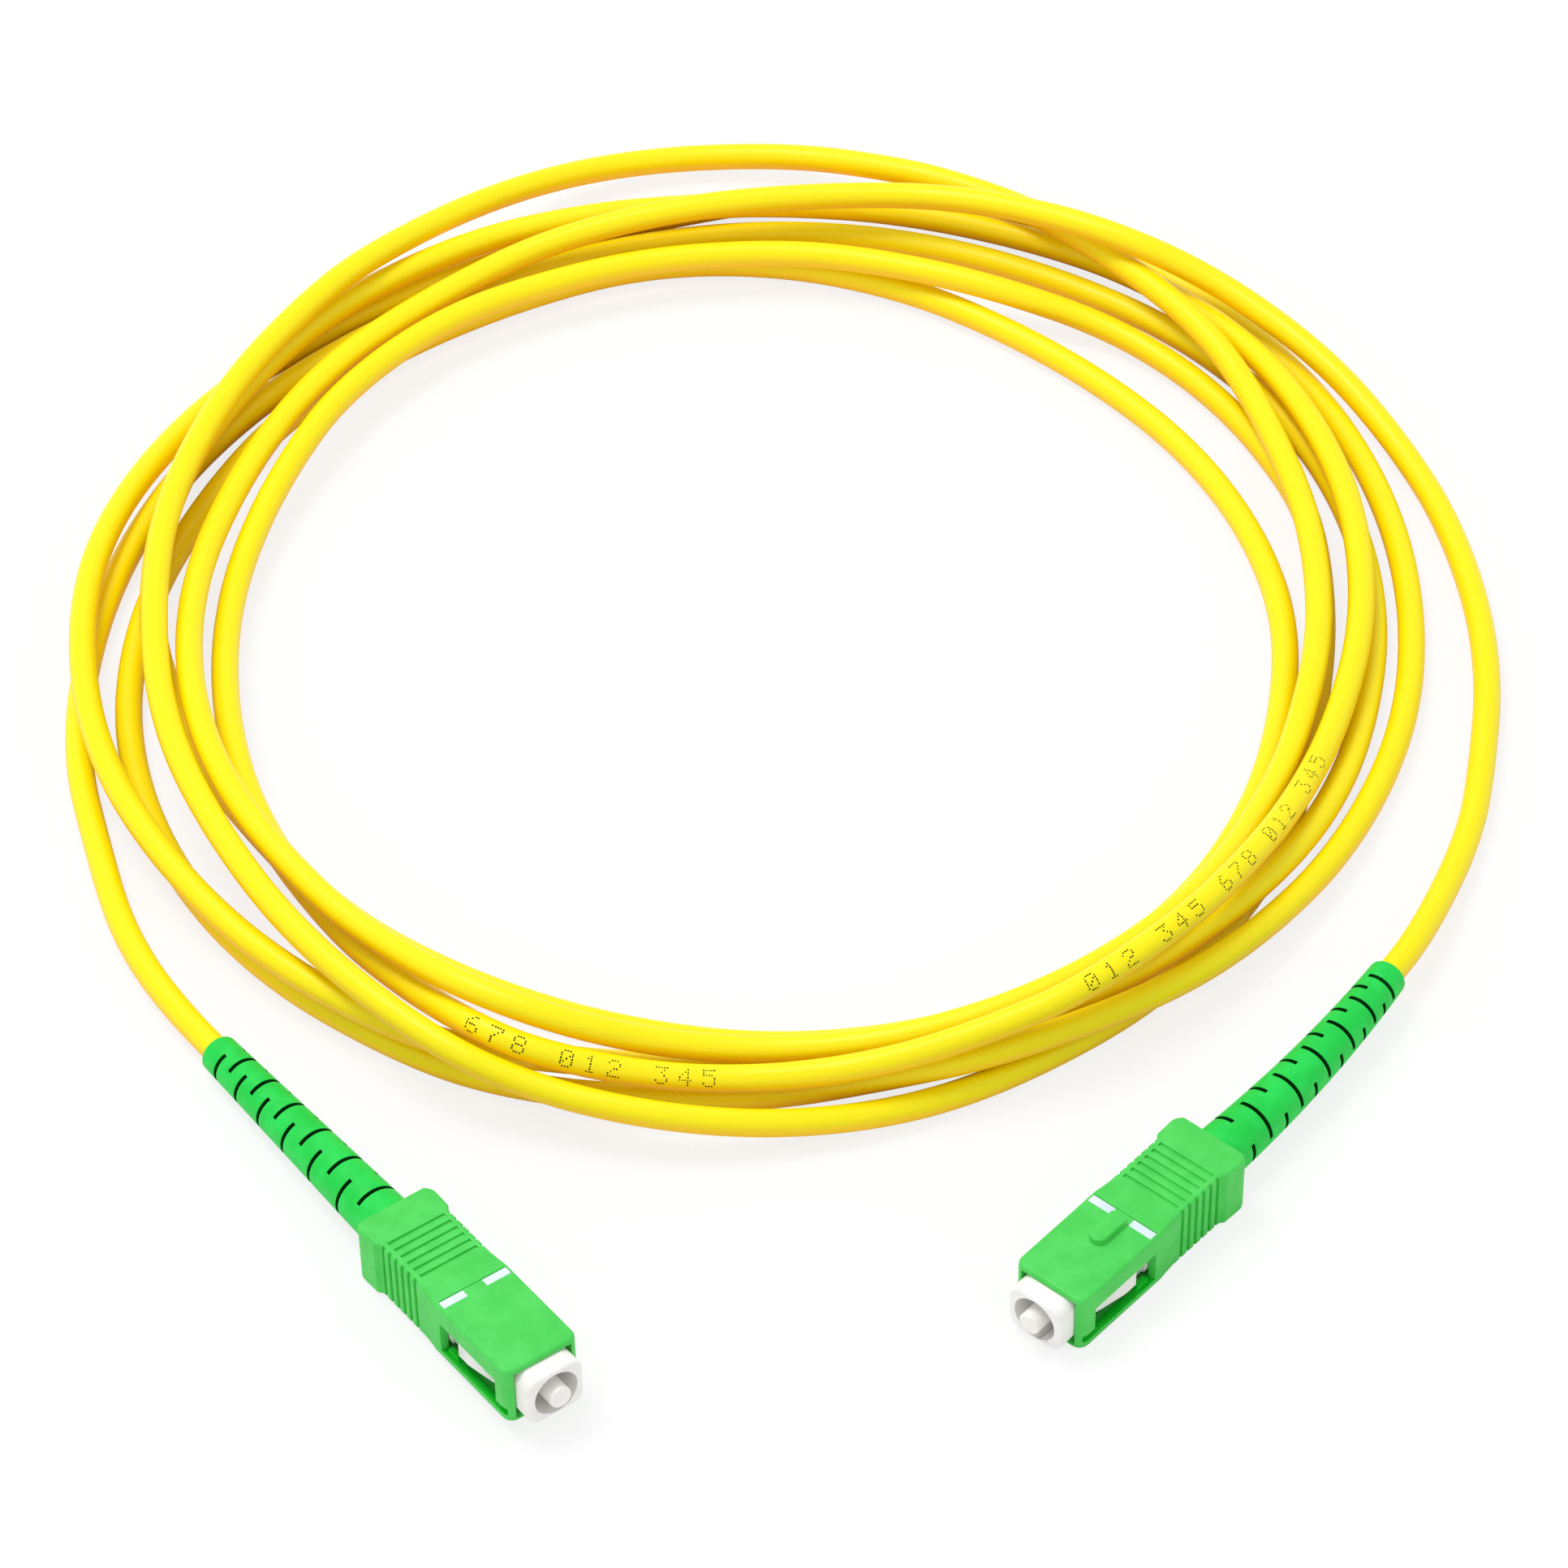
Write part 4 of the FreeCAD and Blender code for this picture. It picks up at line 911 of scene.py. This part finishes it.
def sector(distance, middle_angle):
    """A thin sector round the axis, as rings of four corners joined from angle to angle."""
    inner, outer = CABLE_DIAMETER / 2 + BOOT_WALL, boot_radius(distance) + PAST
    half = SLIT_WIDTH / 2
    work = bmesh.new()
    rings = []
    for k in range(SLIT_STEPS + 1):
        angle = math.radians(middle_angle - SLIT_ANGLE / 2 + SLIT_ANGLE * k / SLIT_STEPS)
        ring = []
        for x, r in ((-half, inner), (half, inner), (half, outer), (-half, outer)):
            ring.append(work.verts.new((x - distance, r * math.cos(angle), r * math.sin(angle))))
        rings.append(ring)
    for near, far in zip(rings, rings[1:]):
        for k in range(4):
            work.faces.new((near[k], near[(k + 1) % 4], far[(k + 1) % 4], far[k]))
    work.faces.new(list(reversed(rings[0])))
    work.faces.new(rings[-1])
    bmesh.ops.recalc_face_normals(work, faces=work.faces)
    mesh = bpy.data.meshes.new("cut")
    work.to_mesh(mesh)
    work.free()
    made = bpy.data.objects.new("cut", mesh)
    bpy.context.scene.collection.objects.link(made)
    return made


def paint_slit_shade(body):
    """The faces inside the slits get the second material slot, a near black-green that is painted shade."""
    for face in body.data.polygons:
        x = -face.center.x
        depth = boot_radius(x) - math.hypot(face.center.y, face.center.z)
        for distance in slit_distances():
            if abs(x - distance) < SLIT_WIDTH / 2 + 0.01 and depth > 0.06:
                face.material_index = 1


def straight_boot(slit_roll):
    body = rod("boot", BOOT_ROOT_DIAMETER / 2, (-BOOT_TAIL, -BOOT_FRONT))
    slices = int((BOOT_TAIL - HOUSING_LENGTH - BOOT_SLICE / 2) / BOOT_SLICE)
    slice_at(body, *[-HOUSING_LENGTH - BOOT_SLICE * i for i in range(slices + 1)])
    for vertex in body.data.vertices:
        factor = boot_radius(-vertex.co.x) / (BOOT_ROOT_DIAMETER / 2)
        vertex.co.y *= factor
        vertex.co.z *= factor

    def at_tail(a, b):
        return max(a.x, b.x) < -BOOT_TAIL + TOUCH

    round_edges(body, at_tail, TAIL_ROUND, 4)
    cut(body, rod("cut", CABLE_DIAMETER / 2 + BOOT_FIT, (-BOOT_TAIL - PAST, -BOOT_FRONT + PAST), 48))
    for i, distance in enumerate(slit_distances()):
        for side in (0, 180):
            cut(body, sector(distance, slit_roll + 90 * (i % 2) + side))
    break_edges(body, 0.05, 2, 50.0)
    body.data.materials.append(None)
    body.data.materials.append(None)
    paint_slit_shade(body)
    return body


def bend(obj, plug):
    for vertex in obj.data.vertices:
        if -vertex.co.x > BEND_START:
            offset = Vector((0, vertex.co.y, vertex.co.z))
            vertex.co = boot_frame(plug, -vertex.co.x) @ offset
    obj.data.update()


boots = {side: straight_boot(plug["slit_roll"]) for side, plug in PLUGS.items()}
for side, boot in boots.items():
    bend(boot, PLUGS[side])
    print("boot", side, len(boot.data.polygons), "faces")

# %% Both plugs in place
for side, plug in PLUGS.items():
    made = {
        "outer_housing": (copy_of(housings[side], "housing_shell_" + side), "housing_" + side),
        "index_marks": (copy_of(marks, "white_marks_" + side), "housing_" + side),
        "plug_frame": (copy_of(frames_made[side], "frame_body_" + side), "cord"),
        "ferrule": (copy_of(ceramic, "ceramic_ferrule_" + side), "ferrule_set_" + side),
        "strain_relief_boot": (copy_of(boots[side], "boot_" + side), "cord"),
    }
    for node, (piece, body) in made.items():
        set_in_place(piece, plug)
        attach(piece, body)
        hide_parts(node + "_" + side)
for pattern in (marks, ceramic, *housings.values(), *frames_made.values(), *boots.values()):
    bpy.data.objects.remove(pattern)

# %% [markdown]
# ## Spring and buffer tube
# The ferrule is pushed back a little when two plugs meet. The spring behind it is then shorter, and
# so is the stretch of buffer tube inside the plug. Here both are plain copies of the frame's own
# pieces, with their seams merged and smooth shading, and the original pieces are hidden.

# %% Pieces that give way
SPRING_SPAN = (6.8, 13.2)
BUFFER_SPAN = (11.7, 17.0)


def giving_copy(node, name, span, side):
    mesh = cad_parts[node + "_" + side].data.copy()
    work = bmesh.new()
    work.from_mesh(mesh)
    bmesh.ops.remove_doubles(work, verts=work.verts, dist=1e-7)
    work.to_mesh(mesh)
    work.free()
    piece = bpy.data.objects.new(name + "_" + side, mesh)
    bpy.context.scene.collection.objects.link(piece)
    select_only(piece)
    bpy.ops.object.shade_smooth_by_angle(angle=SMOOTH_ANGLE)
    start, end = (on_axis(PLUGS[side], distance) * MM for distance in span)
    "ferrule_set_" + side
    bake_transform(piece)
    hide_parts(node + "_" + side)


for side in PLUGS:
    giving_copy("ferrule_spring", "spring", SPRING_SPAN, side)
    giving_copy("buffer_tube", "buffer", BUFFER_SPAN, side)

# %% [markdown]
# ## Finishes
# Shader maths is written as ordinary Python: a small class wraps an output socket, and an
# expression on such values adds the Math nodes.

# %% Shader helpers
class Value:
    """An output socket whose arithmetic adds Math nodes."""

    def __init__(self, finish, socket):
        self.finish = finish
        self.socket = socket

    def __add__(self, other):
        return self.finish.node("Math", {"operation": "ADD"}, [self, other])

    def __sub__(self, other):
        return self.finish.node("Math", {"operation": "SUBTRACT"}, [self, other])

    def __rsub__(self, other):
        return self.finish.node("Math", {"operation": "SUBTRACT"}, [other, self])

    def __mul__(self, other):
        return self.finish.node("Math", {"operation": "MULTIPLY"}, [self, other])

    __radd__ = __add__
    __rmul__ = __mul__


class Finish:
    """A material with a Principled surface and short ways to add nodes to it."""

    def __init__(self, name, **plain):
        self.material = bpy.data.materials.new(name)
        self.material.use_nodes = True
        self.tree = self.material.node_tree
        self.surface = self.tree.nodes["Principled BSDF"]
        for key, value in plain.items():
            self.surface.inputs[key.replace("_", " ")].default_value = value

    def fill(self, socket, value):
        if isinstance(value, Value):
            self.tree.links.new(value.socket, socket)
        elif value is not None:
            socket.default_value = value

    def node(self, kind, settings, inputs, output=0):
        made = self.tree.nodes.new("ShaderNode" + kind)
        for key, value in settings.items():
            setattr(made, key, value)
        pairs = inputs.items() if isinstance(inputs, dict) else enumerate(inputs)
        for key, value in pairs:
            self.fill(made.inputs[key], value)
        return Value(self, made.outputs[output])

    def place(self):
        return self.node("TexCoord", {}, {}, 3)

    def noise(self, scale, detail=2.0, vector=None):
        place = self.place() if vector is None else vector
        return self.node("TexNoise", {}, {"Vector": place, "Scale": scale, "Detail": detail})

    def mix(self, factor, first, second):
        made = self.tree.nodes.new("ShaderNodeMix")
        made.data_type = "RGBA"
        self.fill(made.inputs[0], factor)
        self.fill(made.inputs[6], first)
        self.fill(made.inputs[7], second)
        return Value(self, made.outputs[2])

    def between(self, value, low, high, to_low=0.0, to_high=1.0):
        settings = {"clamp": True, "interpolation_type": "SMOOTHSTEP"}
        return self.node("MapRange", settings, [value, low, high, to_low, to_high])

    def bump(self, height, distance, strength=1.0):
        inputs = {"Strength": strength, "Distance": distance, "Height": height}
        self.wire("Normal", self.node("Bump", {}, inputs))

    def wire(self, name, value):
        self.fill(self.surface.inputs[name], value)


def srgb(red, green, blue):
    """A colour as a paint program shows it, from 0 to 255, as the shader wants it."""
    linear = []
    for part in (red, green, blue):
        part /= 255
        linear.append(part / 12.92 if part <= 0.04045 else ((part + 0.055) / 1.055) ** 2.4)
    return (*linear, 1.0)


# %% [markdown]
# ## Moulded green plastic
# The housing is glossy-satin moulded plastic. Such a face is never one flat green: it has faint
# clouds from the melt's flow and a very fine grain from the tool. The floors of its windows get a
# deeper green as painted shade. The boot is a softer compound in a deeper green, and the walls
# inside its slits are painted nearly black-green as painted shade.

# %% The greens
def moulded(name, colour, cloud, roughness, grain):
    finish = Finish(name, Roughness=roughness)
    clouds = finish.between(finish.noise(420.0, 3.0), 0.35, 0.7)
    finish.wire("Base Color", finish.mix(clouds, colour, cloud))
    finish.wire("Roughness", finish.noise(1500.0, 2.0) * 0.12 + (roughness - 0.06))
    finish.bump(finish.noise(9000.0, 2.0), grain * MM)
    return finish


housing_green = moulded("housing_green", srgb(70, 208, 82), srgb(80, 216, 92), 0.46, 0.012)
housing_green.wire("Specular IOR Level", 0.3)
# Painted shade: a deeper green on the floors of the housing's windows and channels.
floor_shade_green = moulded("floor_shade_green", srgb(0, 190, 30), srgb(10, 200, 44), 0.46, 0.012)
floor_shade_green.wire("Specular IOR Level", 0.2)
boot_finish = moulded("boot_green", srgb(16, 208, 70), srgb(30, 220, 84), 0.5, 0.02)
boot_finish.wire("Specular IOR Level", 0.3)
# Painted shade: near black-green for the walls inside the slits.
slit_shade_green = moulded("slit_shade_green", srgb(0, 62, 16), srgb(0, 74, 22), 0.7, 0.02)
slit_shade_green.wire("Specular IOR Level", 0.1)

# %% [markdown]
# ## Yellow jacket
# The jacket is soft satin plastic, drawn through a die, so its marks run along it: long faint
# streaks in the gloss and a hint of waviness. Its colour holds painted shade: it is orange where
# the surface turns down to its neighbours, standing in for the yellow light that bounces from
# strand to strand, and a lighter yellow where it faces up.

# %% The yellow
def jacket_yellow():
    finish = Finish("jacket_yellow", Roughness=0.38)
    run = finish.node("UVMap", {"uv_map": "run"}, {})
    stretched = finish.node("Mapping", {}, {"Vector": run, "Scale": (0.05, 6.0, 1.0)})
    streaks = finish.noise(3.0, 3.0, stretched)
    clouds = finish.noise(160.0, 2.0)
    # Painted shade and light: the colour runs from orange on faces that turn down to a light yellow on
    # faces that look up.
    normal = finish.node("NewGeometry", {}, {}, 1)
    up = finish.node("SeparateXYZ", {}, {"Vector": normal}, 2)
    lit = finish.between(up, -0.35, 0.75)
    facing_shade_yellow = finish.mix(lit, srgb(255, 196, 0), srgb(255, 240, 0))
    finish.wire("Base Color", finish.mix(clouds * 0.25, facing_shade_yellow, srgb(255, 226, 0)))
    finish.wire("Specular IOR Level", 0.3)
    finish.wire("Roughness", streaks * 0.16 + 0.32)
    finish.bump(streaks, 0.03 * MM)
    return finish


yellow = jacket_yellow()
jacket.data.materials.append(yellow.material)
ink = moulded("print_ink", srgb(58, 48, 14), srgb(70, 58, 20), 0.7, 0.004)
ink.wire("Specular IOR Level", 0.1)
numbers.data.materials.append(ink.material)

# %% [markdown]
# ## White parts and metal
# The frame is white glossy plastic, the ferrule polished ceramic and the marks are a cool white
# paint. Inside the plug, which shows through the windows and the mouth only, are bright metal,
# white tubes, the yarn and the glass fibre.

# %% Whites and metals
def plain_white(name, colour, shade, roughness, grain):
    finish = Finish(name, Roughness=roughness)
    clouds = finish.between(finish.noise(380.0, 3.0), 0.35, 0.7)
    finish.wire("Base Color", finish.mix(clouds, colour, shade))
    finish.wire("Roughness", finish.noise(1300.0, 2.0) * 0.1 + (roughness - 0.05))
    finish.bump(finish.noise(8000.0, 2.0), grain * MM)
    return finish


def turned_metal(name, colour, shade, roughness):
    finish = Finish(name, Metallic=1.0, Roughness=roughness)
    finish.wire("Base Color", finish.mix(finish.noise(900.0, 3.0), colour, shade))
    finish.wire("Roughness", finish.noise(2500.0, 3.0) * 0.2 + (roughness - 0.1))
    finish.bump(finish.noise(6000.0, 2.0), 0.004 * MM)
    return finish


frame_white = plain_white("frame_white", srgb(252, 250, 247), srgb(246, 243, 238), 0.34, 0.008)
# Painted shade: a near black-green for the walls of the frame's pockets.
pocket_shade_dark = plain_white("pocket_shade_dark", srgb(20, 44, 26), srgb(14, 34, 20), 0.7, 0.004)
ceramic_white = plain_white("ceramic_white", srgb(252, 250, 247), srgb(248, 245, 241), 0.16, 0.002)
mark_white = plain_white("mark_white", srgb(226, 240, 244), srgb(214, 232, 240), 0.5, 0.01)
tube_white = plain_white("tube_white", srgb(238, 238, 232), srgb(226, 226, 220), 0.45, 0.006)
steel = turned_metal("spring_steel", srgb(200, 202, 206), srgb(176, 178, 184), 0.3)
nickel = turned_metal("nickel_plate", srgb(214, 208, 198), srgb(190, 186, 178), 0.26)
yarn = plain_white("yarn_yellow", srgb(222, 186, 70), srgb(196, 156, 50), 0.8, 0.06)
glass = plain_white("fibre_glass", srgb(226, 232, 240), srgb(216, 224, 236), 0.08, 0.001)
buffer_white = plain_white("buffer_white", srgb(244, 240, 222), srgb(232, 228, 206), 0.42, 0.006)

FINISH_OF_PIECE = {
    "white_marks": mark_white,
    "ceramic_ferrule": ceramic_white,
    "spring": steel,
    "buffer": buffer_white,
}
FINISH_OF_NODE = {
    "ferrule_flange": steel,
    "stop_ring": nickel,
    "crimp_ring": nickel,
    "guide_tube": tube_white,
    "aramid_yarn": yarn,
    "optical_fibre": glass,
}


def paint(obj, finish):
    obj.data.materials.clear()
    obj.data.materials.append(finish.material)


# In each pair the second finish is painted shade: the walls inside the slits, the floors of the windows and
# the walls of the frame's pockets.
TWO_FINISHES = {
    "boot": (boot_finish, slit_shade_green),
    "housing_shell": (housing_green, floor_shade_green),
    "frame_body": (frame_white, pocket_shade_dark),
}
for side in PLUGS:
    for name, pair in TWO_FINISHES.items():
        for slot, finish in enumerate(pair):
            bpy.data.objects[name + "_" + side].data.materials[slot] = finish.material
    for name, finish in FINISH_OF_PIECE.items():
        paint(bpy.data.objects[name + "_" + side], finish)
    for name, finish in FINISH_OF_NODE.items():
        paint(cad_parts[name + "_" + side], finish)

# %% [markdown]
# ## Where the cable leaves the plug
# The point where the cable leaves plug A's boot is worked out, in metres.

exit_point = on_axis(PLUGS["a"], BOOT_TAIL) * MM

# %% [markdown]
# ## Studio
# The product stands on a bright white sweep under soft light from above and behind on the left.
# The world gives an even white light and the one large lamp gives the gentle shape.

# %% Floor and light
def floor():
    bpy.ops.object.select_all(action="DESELECT")
    bpy.ops.mesh.primitive_plane_add(size=6.0, location=(0, 0, 0))
    made = bpy.context.object
    made.name = "floor"
    finish = Finish("floor_white", Roughness=0.9)
    finish.surface.inputs["Base Color"].default_value = (0.92, 0.92, 0.92, 1.0)
    finish.surface.inputs["Specular IOR Level"].default_value = 0.0
    glow = finish.tree.nodes.new("ShaderNodeEmission")
    glow.inputs["Color"].default_value = (1.0, 1.0, 1.0, 1.0)
    glow.inputs["Strength"].default_value = 1.0
    blend = finish.tree.nodes.new("ShaderNodeMixShader")
    path = finish.tree.nodes.new("ShaderNodeLightPath")
    seen = Value(finish, path.outputs["Is Camera Ray"]) * 0.8
    finish.fill(blend.inputs[0], seen)
    finish.tree.links.new(finish.surface.outputs[0], blend.inputs[1])
    finish.tree.links.new(glow.outputs[0], blend.inputs[2])
    output = finish.tree.nodes["Material Output"]
    finish.tree.links.new(blend.outputs[0], output.inputs["Surface"])
    paint(made, finish)
    return made


floor()
world = bpy.data.worlds.new("studio")
bpy.context.scene.world = world
world.use_nodes = True
background = world.node_tree.nodes["Background"]
background.inputs["Color"].default_value = (1.0, 1.0, 1.0, 1.0)
background.inputs["Strength"].default_value = 0.75


def softbox(name, place, size, power):
    data = bpy.data.lights.new(name, "AREA")
    data.shape = "DISK"
    data.size = size
    data.energy = power
    lamp = bpy.data.objects.new(name, data)
    bpy.context.scene.collection.objects.link(lamp)
    lamp.location = place
    lamp.rotation_mode = "QUATERNION"
    lamp.rotation_quaternion = (-Vector(place)).to_track_quat("-Z", "Y")
    return lamp


softbox("key_light", (-0.35, 0.25, 1.1), 0.5, 6.0)
